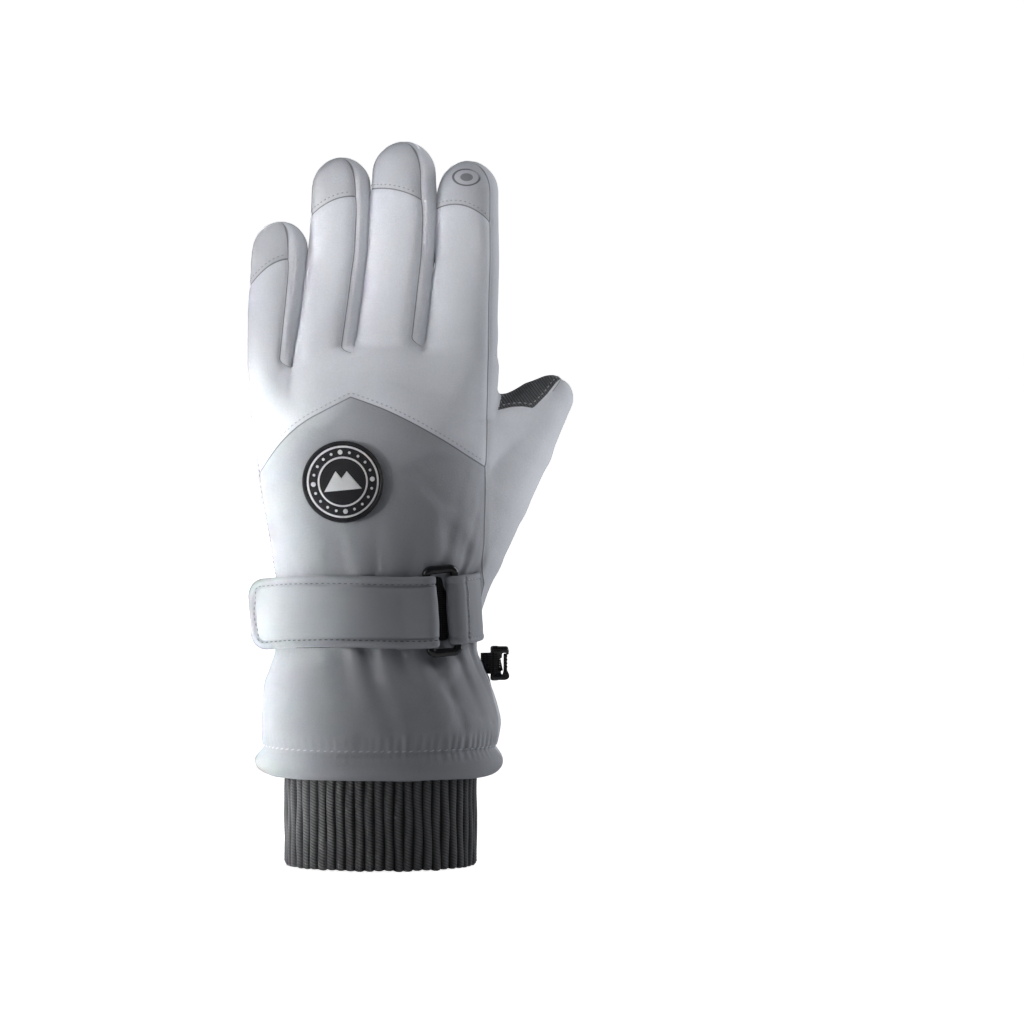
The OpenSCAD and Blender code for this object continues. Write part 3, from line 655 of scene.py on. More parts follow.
full = bpy.data.meshes.new("full")
full.from_pydata((V2 * MM).tolist(), [], Q.tolist())
ATT = {"a_dor": a_dor, "a_pal": np.where(tf > 0.02, a_pal, 20), "a_chev": a_chev, "a_cap": a_cap, "a_dark": a_dark, "a_s1": a_s1, "a_s2": a_s2,
       "a_grey": a_grey, "a_capz": a_capz, "a_t1": a_t1, "a_t2": a_t2, "w_t1": w_t1, "w_t2": w_t2,
       "a_in": inner.astype(float), "fid": fid.astype(float), "fmin": fs.min(0), "thd": thumb_d}
for k, v in ATT.items():
    full.attributes.new(k, "FLOAT", "POINT").data.foreach_set("value", v.astype(np.float32))
full.attributes.new("rest", "FLOAT_VECTOR", "POINT").data.foreach_set("vector", (V * MM).astype(np.float32).ravel())
bm = bmesh.new(); bm.from_mesh(full)
lay = {k: bm.verts.layers.float[k] for k in ATT}


def cut(co, no, test, reach=3.0):
    co_m, no_v = Vector(co * MM), Vector(no)
    fsel = []
    for f in bm.faces:
        c = f.calc_center_median()
        if abs((c - co_m).dot(no_v)) < reach * MM and test(c / MM, f):
            fsel.append(f)
    geom = set(fsel)
    for f in fsel:
        geom.update(f.edges); geom.update(f.verts)
    bmesh.ops.bisect_plane(bm, geom=list(geom), plane_co=co_m, plane_no=no_v)


def near_finger(i):
    def t(c, f):
        return c.z > 200 and int(round(np.mean([v[lay["fid"]] for v in f.verts]))) == i and abs(c.y) < 25
    return t


def cut_line(key, cond):
    """Puts an edge chain exactly where a field changes sign, so that two panels meet along a clean line."""
    L = lay[key]
    rest = bm.verts.layers.float_vector["rest"]
    moves = {}
    for e in bm.edges:
        a, b = e.verts
        va, vb = a[L], b[L]
        if va * vb < 0 and cond(a.co) and cond(b.co):
            t = va / (va - vb)
            if t < 0.22 and moves.get(a, (9,))[0] > t:
                moves[a] = (t, b)
            elif t > 0.78 and moves.get(b, (9,))[0] > 1 - t:
                moves[b] = (1 - t, a)
    done = {}
    for a, (t, b) in moves.items():
        done[a] = (a.co.lerp(b.co, t), a[rest].lerp(b[rest], t), [a[lay[k]] * (1 - t) + b[lay[k]] * t for k in lay])
    on = set()
    for a, (c, r, vals) in done.items():
        a.co = c; a[rest] = r
        for k, w in zip(lay, vals):
            a[lay[k]] = w
        a[L] = 0.0
        on.add(a)
    todo = [e for e in bm.edges if e.verts[0][L] * e.verts[1][L] < 0 and cond(e.verts[0].co) and cond(e.verts[1].co)]
    for e in todo:
        a, b = e.verts
        t = a[L] / (a[L] - b[L])
        vals = [a[lay[k]] * (1 - t) + b[lay[k]] * t for k in lay]
        r, c = a[rest].lerp(b[rest], t), a.co.lerp(b.co, t)
        _, nv = bmesh.utils.edge_split(e, a, t)
        nv.co = c; nv[rest] = r
        for k, w in zip(lay, vals):
            nv[lay[k]] = w
        nv[L] = 0.0
        on.add(nv)
    faces = {f for v in on for f in v.link_faces}
    for f in faces:
        vs = [v for v in f.verts if v in on]
        if len(vs) == 2 and len(f.verts) > 3 and not any(v in vs and e.other_vert(v) in vs for e in f.edges for v in e.verts):
            o = [v[L] for v in f.verts if v not in on]
            if min(o) < 0 < max(o):
                bmesh.utils.face_split(f, vs[0], vs[1])
    return len(on)


for i, n in enumerate(FN):
    cut(PL[n + "_base"][0], PL[n + "_base"][2], near_finger(i))
    mid = (PL[n + "_base"][1] + PL[n + "_tip"][0]) / 2
    PL[n + "_mid"] = mid
    cut(mid, PL[n + "_base"][2], near_finger(i))
cut(np.array([0, 0, 104.0]), (0, 0, 1), lambda c, f: True)
cut(np.array([0, 0, 50.3]), (0, 0, 1), lambda c, f: f.verts[0][lay["a_in"]] < 0.5)
log("plane cuts")
cuts = [cut_line("a_dark", lambda c: c.y > -0.003 and c.z > 0.116),
        cut_line("a_grey", lambda c: True),
        cut_line("a_capz", lambda c: c.z > 0.236),
        cut_line("a_t1", lambda c: c.x > 0.028 and 0.14 < c.z < 0.21),
        cut_line("a_t2", lambda c: c.x > 0.040 and 0.14 < c.z < 0.21)]
log("line cuts", cuts, len(bm.faces))
bm.normal_update()
full.clear_geometry()
bm.to_mesh(full); bm.free()
full.update()


def mesh_arrays(me):
    nv, nl, nf = len(me.vertices), len(me.loops), len(me.polygons)
    co = np.zeros(nv * 3, np.float32); me.vertices.foreach_get("co", co)
    li = np.zeros(nl, np.int32); me.loops.foreach_get("vertex_index", li)
    ls = np.zeros(nf, np.int32); me.polygons.foreach_get("loop_start", ls)
    lt = np.zeros(nf, np.int32); me.polygons.foreach_get("loop_total", lt)
    vn = np.zeros(nv * 3, np.float32); me.vertex_normals.foreach_get("vector", vn)
    at = {}
    for k in list(ATT):
        b = np.zeros(nv, np.float32); me.attributes[k].data.foreach_get("value", b); at[k] = b
    b = np.zeros(nv * 3, np.float32); me.attributes["rest"].data.foreach_get("vector", b); at["rest"] = b.reshape(-1, 3)
    return co.reshape(-1, 3).astype(float), li, ls, lt, at, vn.reshape(-1, 3).astype(float)


co, li, ls, lt, at, vnorm = mesh_arrays(full)
face_of_loop = np.repeat(np.arange(len(ls)), lt)


def fmean(a):
    return np.add.reduceat(a[li], ls) / lt


cen = np.stack([fmean(co[:, k]) for k in range(3)], 1) / MM
ffid = np.round(fmean(at["fid"])).astype(int)
fin = fmean(at["a_in"])
fdark, fgrey, fcap, ft1, ft2 = (fmean(at[k]) for k in ("a_dark", "a_grey", "a_capz", "a_t1", "a_t2"))
fyseam = np.interp(cen[:, 0], [-55, 0, 44, 52], [1.5, -1.0, -5.5, -6.5])
piece = np.zeros(len(ls), int)
NAMES = []


def label(name, mask):
    if name not in NAMES:
        NAMES.append(name)
    piece[mask] = NAMES.index(name)


zc_ = cen[:, 2]
label("palm_panel", zc_ > 0)
label("back_lower_panel", fgrey > 0)
label("back_upper_panel", (fgrey <= 0) & (cen[:, 1] < fyseam) & (zc_ > 145))
label("palm_patch", (fdark > 0) & (zc_ > 116))
label("crotch_patch", (fdark > 0) & (zc_ > 183) & (ffid == 3) & (cen[:, 0] > 34) & (ft2 < 0))
label("thumb_base_sleeve", (ft1 > 0) & (ft2 <= 0) & (zc_ < 212) & (cen[:, 0] > 30))
label("thumb_tip_sleeve", (ft1 > 0) & (ft2 > 0) & (zc_ < 212) & (cen[:, 0] > 40))
label("thumb_tip_pad", (ft1 > 0) & (ft2 > 0) & (zc_ < 212) & (cen[:, 0] > 40) & (fdark > 0))
for i, n in enumerate(FN):
    s_, e_, d_ = PL[n + "_base"]
    on = (ffid == i) & (zc_ > 200) & (((cen - s_) @ d_) > 0) & (ft1 < 0)
    label(n + "_base_sleeve", on)
    on2 = on & (((cen - PL[n + "_mid"]) @ d_) > 0)
    label(n + "_tip_sleeve", on2)
    label(n + "_cap", on2 & (fcap > 0))
    if n in ("middle", "index"):
        label(n + "_touch_pad", on2 & (fdark > 0))
label("gauntlet_palm", (zc_ < 104) & (fgrey <= 0))
label("gauntlet_back", (zc_ < 104) & (fgrey > 0))
label("hem_roll", (zc_ < 50.3))
label("shell_lining", fin > 0.5)
log("pieces", {NAMES[k]: int((piece == k).sum()) for k in range(len(NAMES))})

# ------------------------------------------------------------------ materials
class Mat:
    """A small helper around one procedural material; P is the position in mm, stored before any bending."""

    def __init__(self, name, base, rough=0.8, spec=0.35):
        self.m = bpy.data.materials.new(name)
        self.m.use_nodes = True
        self.m.diffuse_color = (*base, 1)
        self.nt = self.m.node_tree
        self.nt.nodes.clear()
        out = self.nt.nodes.new("ShaderNodeOutputMaterial")
        self.p = self.nt.nodes.new("ShaderNodeBsdfPrincipled")
        self.nt.links.new(self.p.outputs[0], out.inputs[0])
        self.p.inputs["Roughness"].default_value = rough
        self.p.inputs["Specular IOR Level"].default_value = spec
        self.p.inputs["Base Color"].default_value = (*base, 1)
        a = self.nt.nodes.new("ShaderNodeAttribute"); a.attribute_name = "rest"
        self.P = self.vmath("SCALE", a.outputs["Vector"], scale=1000.0)
        self.base = base
        self.height = None

    def link(self, a, b):
        self.nt.links.new(a, b)

    def put(self, sock, v):
        if hasattr(v, "is_output"):
            self.link(v, sock)
        elif isinstance(v, (tuple, list)) and len(v) == 3 and len(sock.default_value) == 4:
            sock.default_value = (*v, 1)
        else:
            sock.default_value = v

    def math(self, op, a, b=None, c=None, clamp=False):
        n = self.nt.nodes.new("ShaderNodeMath"); n.operation = op; n.use_clamp = clamp
        for i, v in enumerate((a, b, c)):
            if v is not None:
                self.put(n.inputs[i], v)
        return n.outputs[0]

    def vmath(self, op, a, b=None, scale=None):
        n = self.nt.nodes.new("ShaderNodeVectorMath"); n.operation = op
        self.put(n.inputs[0], a)
        if b is not None:
            self.put(n.inputs[1], b)
        if scale is not None:
            n.inputs["Scale"].default_value = scale
        return n.outputs["Value"] if op in ("DOT_PRODUCT", "LENGTH", "DISTANCE") else n.outputs["Vector"]

    def attr(self, name):
        n = self.nt.nodes.new("ShaderNodeAttribute"); n.attribute_name = name
        return n.outputs["Fac"]

    def noise(self, scale, detail=2.0, rough=0.55, stretch=None):
        n = self.nt.nodes.new("ShaderNodeTexNoise")
        v = self.P if stretch is None else self.vmath("MULTIPLY", self.P, stretch)
        self.link(v, n.inputs["Vector"])
        n.inputs["Scale"].default_value = scale
        n.inputs["Detail"].default_value = detail
        n.inputs["Roughness"].default_value = rough
        return n.outputs["Fac"]

    def voronoi(self, scale):
        n = self.nt.nodes.new("ShaderNodeTexVoronoi")
        self.link(self.P, n.inputs["Vector"]); n.inputs["Scale"].default_value = scale
        return n.outputs["Distance"]

    def step(self, v, w=0.12):
        """0 below -w, 1 above w."""
        return self.math("ADD", self.math("DIVIDE", v, 2 * w), 0.5, clamp=True)

    def line(self, v, half, soft=0.08):
        """1 where |v| < half."""
        return self.math("SUBTRACT", 1.0, self.step(self.math("SUBTRACT", self.math("ABSOLUTE", v), half), soft), clamp=True)

    def mix(self, f, a, b):
        n = self.nt.nodes.new("ShaderNodeMix"); n.data_type = "RGBA"; n.clamp_factor = True
        self.put(n.inputs[0], f); self.put(n.inputs[6], a); self.put(n.inputs[7], b)
        return n.outputs[2]

    def fmix(self, f, a, b):
        n = self.nt.nodes.new("ShaderNodeMix"); n.data_type = "FLOAT"; n.clamp_factor = True
        self.put(n.inputs[0], f); self.put(n.inputs[2], a); self.put(n.inputs[3], b)
        return n.outputs[0]

    def tint(self, col, fac, amount):
        """Colour made lighter and darker by a factor round 0.5."""
        k = self.math("ADD", self.math("MULTIPLY", self.math("SUBTRACT", fac, 0.5), amount), 1.0)
        n = self.nt.nodes.new("ShaderNodeVectorMath"); n.operation = "SCALE"
        self.put(n.inputs[0], col if hasattr(col, "is_output") else tuple(col)); self.link(k, n.inputs["Scale"])
        return n.outputs["Vector"]

    def bump(self, height, dist, strength=1.0):
        n = self.nt.nodes.new("ShaderNodeBump")
        n.inputs["Distance"].default_value = dist; n.inputs["Strength"].default_value = strength
        self.link(height, n.inputs["Height"]); self.link(n.outputs[0], self.p.inputs["Normal"])

    def colour(self, c):
        self.link(c, self.p.inputs["Base Color"])

    def sheen(self, w, rough=0.4, tint=None):
        self.p.inputs["Sheen Weight"].default_value = w
        self.p.inputs["Sheen Roughness"].default_value = rough
        if tint:
            self.p.inputs["Sheen Tint"].default_value = (*tint, 1)


LIGHT, GREY, CAPG, TWILL, FLEECE = (0.625, 0.643, 0.69), (0.36, 0.372, 0.405), (0.485, 0.50, 0.54), (0.078, 0.080, 0.086), (0.13, 0.135, 0.145)


def wave(m, nx, nz, pitch, ny=0.0):
    """A smooth 0..1 stripe pattern across a direction, in mm."""
    n = m.nt.nodes.new("ShaderNodeVectorMath"); n.operation = "DOT_PRODUCT"
    m.link(m.P, n.inputs[0]); n.inputs[1].default_value = (nx, ny, nz)
    s = m.math("SINE", m.math("MULTIPLY", n.outputs["Value"], 2 * math.pi / pitch))
    return m.math("ADD", m.math("MULTIPLY", s, 0.5), 0.5)


def softshell():
    m = Mat("softshell_panels", LIGHT, 0.78, 0.3)
    dark, grey, cap = m.step(m.attr("a_dark")), m.step(m.attr("a_grey")), m.step(m.attr("a_capz"))
    blotch, grain, fine = m.noise(0.05, 3), m.noise(1.5, 3, 0.7), m.noise(4.2, 2, 0.6)
    c = m.mix(grey, LIGHT, GREY)
    c = m.mix(cap, c, CAPG)
    c = m.tint(c, blotch, 0.10)
    c = m.tint(c, grain, 0.26)
    tw = wave(m, 0.78, 0.63, 1.05)
    tw2 = wave(m, -0.63, 0.78, 0.62)
    tc = m.mix(m.math("MULTIPLY", tw, m.math("ADD", m.math("MULTIPLY", tw2, 0.5), 0.5)), (0.045, 0.046, 0.05), (0.125, 0.128, 0.136))
    tc = m.tint(tc, m.noise(0.9, 4, 0.75), 0.8)
    c = m.mix(dark, c, tc)
    # the printed touch mark on the index cap: a ring and a dot
    d = m.nt.nodes.new("ShaderNodeVectorMath"); d.operation = "SUBTRACT"
    m.link(m.P, d.inputs[0]); d.inputs[1].default_value = (36.1, 0, 288.8)
    e = m.vmath("MULTIPLY", d.outputs["Vector"], (1.0, 0.0, 1.62))
    r = m.vmath("LENGTH", e)
    front = m.step(m.math("SUBTRACT", m.attr("a_dor"), 2.0), 0.5)
    mark = m.math("MAXIMUM", m.line(m.math("SUBTRACT", r, 5.4), 0.46), m.math("MULTIPLY", m.step(m.math("SUBTRACT", 2.6, r), 0.1), 0.8))
    c = m.mix(m.math("MULTIPLY", mark, m.math("MULTIPLY", front, cap)), c, (0.15, 0.155, 0.17))
    # painted shade: the colour is darkened along the seam valleys, where shade falls
    near = m.line(m.attr("a_dor"), 0.2)
    for k in ("a_pal", "a_s1", "a_s2"):
        near = m.math("MAXIMUM", near, m.line(m.attr(k), 0.14))
    near = m.math("MAXIMUM", near, m.math("MULTIPLY", m.line(m.attr("a_chev"), 0.25), m.step(m.attr("a_dor"))))
    near = m.math("MAXIMUM", near, m.math("MULTIPLY", m.line(m.attr("a_cap"), 0.27), m.step(m.attr("a_dor"))))
    c = m.mix(m.math("MULTIPLY", near, 0.72), c, (0.07, 0.074, 0.083))
    inn = m.step(m.math("SUBTRACT", m.attr("a_in"), 0.5), 0.3)
    c = m.mix(inn, c, m.tint(FLEECE, m.noise(2.0, 4, 0.8), 0.9))
    m.colour(c)
    h = m.math("ADD", m.math("MULTIPLY", grain, 0.65), m.math("MULTIPLY", fine, 0.5))
    h = m.fmix(dark, h, m.math("ADD", m.math("MULTIPLY", tw, 1.5), m.math("MULTIPLY", tw2, 0.7)))
    m.bump(h, 0.0002, 0.8)
    m.link(m.fmix(dark, 0.76, 0.62), m.p.inputs["Roughness"])
    m.sheen(0.12, 0.45, (0.9, 0.93, 1.0))
    return m.m


def fabric(name, base, grain_amt=0.14, sheen=0.12, rough=0.8):
    m = Mat(name, base, rough, 0.3)
    c = m.tint(m.tint(base, m.noise(0.05, 3), 0.10), m.noise(1.5, 3, 0.7), grain_amt)
    m.colour(c)
    m.bump(m.math("ADD", m.math("MULTIPLY", m.noise(1.5, 3, 0.7), 0.65), m.math("MULTIPLY", m.noise(4.2, 2), 0.5)), 0.00016, 0.75)
    m.sheen(sheen, 0.45, (0.9, 0.93, 1.0))
    return m.m


def thread():
    m = Mat("sewing_thread", (0.7, 0.73, 0.78), 0.6, 0.4)
    t = m.attr("tone")
    m.colour(m.tint(m.mix(t, (0.05, 0.052, 0.058), (0.74, 0.77, 0.82)), m.noise(3.0, 2), 0.25))
    m.bump(wave(m, 0.8, 0.6, 0.35), 0.00005, 0.6)
    return m.m


def plastic(name="gloss_black_plastic"):
    m = Mat(name, (0.012, 0.012, 0.014), 0.16, 0.55)
    m.colour(m.tint((0.013, 0.013, 0.015), m.noise(0.3, 3), 0.35))
    m.link(m.math("ADD", m.math("MULTIPLY", m.noise(0.55, 4, 0.7), 0.16), 0.12), m.p.inputs["Roughness"])
    m.bump(m.noise(0.8, 3), 0.00006, 0.35)
    m.p.inputs["Coat Weight"].default_value = 0.25
    return m.m


def rubber(name, base, rough=0.42):
    m = Mat(name, base, rough, 0.45)
    m.colour(m.tint(base, m.noise(0.25, 3), 0.22))
    m.link(m.math("ADD", m.math("MULTIPLY", m.noise(1.6, 3, 0.7), 0.2), rough - 0.1), m.p.inputs["Roughness"])
    m.bump(m.noise(2.6, 3, 0.7), 0.00007, 0.5)
    return m.m


def knit():
    m = Mat("rib_knit", (0.045, 0.046, 0.05), 0.85, 0.25)
    # the knit loop pattern is real; the darkening in the rib valleys is painted shade
    loops_and_valley_shade = m.attr("knit_loops_and_valley_shade")
    c = m.mix(loops_and_valley_shade, (0.014, 0.0143, 0.016), (0.17, 0.172, 0.18))
    c = m.tint(c, m.noise(2.2, 4, 0.8), 0.9)
    m.colour(c)
    m.bump(m.noise(3.5, 4, 0.75), 0.0002, 0.8)
    m.sheen(0.35, 0.35, (0.75, 0.78, 0.85))
    return m.m


def pile(name, base):
    m = Mat(name, base, 0.9, 0.2)
    m.colour(m.tint(base, m.voronoi(1.3), 1.2))
    m.bump(m.math("ADD", m.voronoi(1.3), m.noise(3.0, 3)), 0.0005, 0.9)
    m.sheen(0.3)
    return m.m


def webbing():
    # black woven webbing for the clip tape; on the strap's under layer the same black stands in as painted shade
    m = Mat("black_webbing_and_painted_shade", (0.022, 0.022, 0.024), 0.7, 0.35)
    w1, w2 = wave(m, 0.0, 1.0, 0.9), wave(m, 0.7, 0.0, 0.9, 0.7)
    k = m.math("MULTIPLY", w1, w2)
    m.colour(m.mix(k, (0.010, 0.010, 0.011), (0.05, 0.05, 0.054)))
    m.bump(k, 0.0002, 0.9)
    return m.m


M_SHELL, M_THREAD, M_PLASTIC, M_KNIT, M_WEB_AND_SHADE = softshell(), thread(), plastic(), knit(), webbing()
M_STRAP = fabric("strap_softshell", GREY)
M_PILE, M_HOOK = pile("loop_pile", (0.05, 0.052, 0.058)), pile("hook_side", (0.03, 0.031, 0.034))
M_RUBBER, M_RELIEF = rubber("badge_rubber_black", (0.014, 0.014, 0.017)), rubber("badge_relief_pale", (0.76, 0.77, 0.79), 0.5)

# ------------------------------------------------------------------ sewing stitches
N2 = normals_of(V2, Q)


def isolines(f, level, ok, src=None):
    """Chains of points where field f crosses a level, each with its normal and a nearby vertex."""
    P, NN = (V2, N2) if src is None else src
    g = f - level
    a, b = Q, np.roll(Q, -1, 1)
    cr = (g[a] * g[b]) < 0
    sel = np.where((cr.sum(1) == 2) & ok[Q].all(1))[0]
    nb, pts = {}, {}
    for q in sel:
        ks = []
        for i in np.where(cr[q])[0]:
            u, v = int(a[q, i]), int(b[q, i])
            k = (u, v) if u < v else (v, u)
            if k not in pts:
                t = g[k[0]] / (g[k[0]] - g[k[1]])
                pts[k] = (P[k[0]] * (1 - t) + P[k[1]] * t, NN[k[0]] * (1 - t) + NN[k[1]] * t)
            ks.append(k)
        nb.setdefault(ks[0], []).append(ks[1]); nb.setdefault(ks[1], []).append(ks[0])
    out, seen = [], set()
    for k0 in sorted(nb, key=lambda k: (len(nb[k]), k)):
        if k0 in seen:
            continue
        chain, k = [k0], k0
        seen.add(k0)
        while True:
            nx = [w for w in nb[k] if w not in seen]
            if not nx:
                break
            k = nx[0]; seen.add(k); chain.append(k)
        if len(chain) > 5:
            out.append((np.array([pts[k][0] for k in chain]), np.array([pts[k][1] for k in chain]), np.array([k[0] for k in chain])))
    return out


def stitches_on(chain, pitch, length, r, tone, lift=0.10, slant=0.0):
    """Capsules along one chain of points; returns rows (centre, tangent, normal, length, r, tone, vertex)."""
    p, n, idx = chain
    ps = p.copy()
    for _ in range(3):
        ps[1:-1] = 0.25 * ps[:-2] + 0.5 * ps[1:-1] + 0.25 * ps[2:]
    L = np.concatenate([[0], np.cumsum(np.linalg.norm(np.diff(ps, axis=0), axis=1))])
    if L[-1] < pitch * 2:
        return []
    s = np.arange(pitch * 0.5, L[-1], pitch)
    rows = []
    for si in s:
        c = np.array([np.interp(si, L, ps[:, k]) for k in range(3)])
        c2 = np.array([np.interp(min(si + 0.8, L[-1]), L, ps[:, k]) for k in range(3)]) - np.array([np.interp(max(si - 0.8, 0), L, ps[:, k]) for k in range(3)])
        nn = np.array([np.interp(si, L, n[:, k]) for k in range(3)])
        nn /= max(np.linalg.norm(nn), 1e-9)
        t = c2 - nn * (c2 @ nn); t /= max(np.linalg.norm(t), 1e-9)
        if slant:
            bt = np.cross(nn, t); t = t * math.cos(slant) + bt * math.sin(slant)
        rows.append((c + nn * lift, t, nn, length, r, tone, int(idx[min(np.searchsorted(L, si), len(idx) - 1)])))
    return rows


def capsule_mesh(rows):
    """Verts, faces, tone and source vertex of many little thread capsules."""
    us = [-0.5, -0.36, 0.0, 0.36, 0.5]
    rad = [0, 0.82, 1.0, 0.82, 0]
    verts, faces, tone, src = [], [], [], []
    for c, t, n, L, r, tn, vi in rows:
        b = np.cross(n, t)
        base = len(verts)
        verts.append(c - t * L * 0.5 - n * r * 1.1)
        for u, k in list(zip(us, rad))[1:4]:
            ctr = c + t * L * u - n * (u * 2) ** 2 * r * 0.9
            for a in range(6):
                th = a * math.pi / 3
                verts.append(ctr + (b * math.cos(th) + n * math.sin(th)) * r * k)
        verts.append(c + t * L * 0.5 - n * r * 1.1)
        for a in range(6):
            a2 = (a + 1) % 6
            faces.append((base, base + 1 + a2, base + 1 + a))
            for k in range(2):
                o = base + 1 + 6 * k
                faces.append((o + a, o + a2, o + 6 + a2, o + 6 + a))
            faces.append((base + 13 + a, base + 13 + a2, base + 19))
        tone += [tn] * 20; src += [vi] * 20
    return np.array(verts).reshape(-1, 3), faces, np.array(tone), np.array(src, int)


ROWS = []
out_ = ~inner


def sew(f, level, ok, **kw):
    for ch in isolines(f, level, ok & out_):
        ROWS.extend(stitches_on(ch, **kw))


sew(a_chev, -1.7, a_dor > 1.5, pitch=2.1, length=1.2, r=0.22, tone=0.5)
sew(a_cap, 1.6, (a_dor > 1.4) & (z > 228), pitch=2.0, length=1.1, r=0.21, tone=0.38)
sew(a_dark, 1.5, (patch > 0.4) & (z > 121) & (y > 1) & (onthumb < 0.05) & (x < 42), pitch=2.3, length=1.4, r=0.23, tone=0.42)
sew(a_dark, 1.4, (tdark > 0.4) & (x > 49), pitch=2.3, length=1.3, r=0.22, tone=0.4)
sew(a_dark, 1.4, (cro > 0.4) & (patch < 0.2), pitch=2.3, length=1.3, r=0.22, tone=0.4)
sew(a_s1, 1.7, palmside & (z > 121) & (z < 200) & (a_dark < -1.2), pitch=2.3, length=1.4, r=0.22, tone=0.95)
sew(z, 51.35, z < 60, pitch=3.0, length=2.1, r=0.30, tone=0.75, slant=0.35)
for k, e in enumerate(ER):
    sew(z - e - 0.6 * np.sin(arc * 1.1 + k), 0.0, (palm > 0.5) & (a_grey < -0.5), pitch=2.5, length=1.7, r=0.24, tone=1.0)
log("stitches", len(ROWS))

# ------------------------------------------------------------------ one mesh per panel
REPL = {"palm_panel": ["palm_panel", "hand_padding", "wrist_elastic"], "back_lower_panel": ["back_lower_panel"], "back_upper_panel": ["back_upper_panel"],
        "palm_patch": ["palm_patch"], "crotch_patch": ["crotch_patch"], "gauntlet_back": ["gauntlet_back"], "gauntlet_palm": ["gauntlet_palm"],
        "hem_roll": ["hem_roll"], "shell_lining": ["hand_lining", "gauntlet_lining"]}
ALLN = list(frame["nodes"]) if isinstance(frame["nodes"], dict) else [n["name"] for n in frame["nodes"]]
for n in FN:
    REPL[n + "_base_sleeve"] = [k for k in ALLN if k.startswith(n + "_base")]
    REPL[n + "_cap"] = [n + "_cap"] if n + "_cap" in ALLN else []
    REPL[n + "_tip_sleeve"] = [k for k in ALLN if k.startswith(n + "_") and k not in REPL[n + "_base_sleeve"] and k not in REPL[n + "_cap"] and "pad" not in k]
    if n in ("middle", "index"):
        REPL[n + "_touch_pad"] = [k for k in ALLN if k.startswith(n + "_") and "pad" in k and k not in REPL[n + "_base_sleeve"]]
th_nodes = [k for k in ALLN if k.startswith("thumb")]
REPL["thumb_tip_pad"] = [k for k in th_nodes if "pad" in k]
REPL["thumb_tip_sleeve"] = [k for k in th_nodes if k.startswith("thumb_tip") and "pad" not in k]
REPL["thumb_base_sleeve"] = [k for k in th_nodes if k not in REPL["thumb_tip_pad"] + REPL["thumb_tip_sleeve"]]

vlab = np.zeros(len(co), int)
vlab[li] = piece[face_of_loop]
cv, cf, ctone, csrc = capsule_mesh(ROWS)
crow_piece = vlab[np.array([r[6] for r in ROWS], int)]
nfc = len(cf) // max(len(ROWS), 1)
RIDES = {}


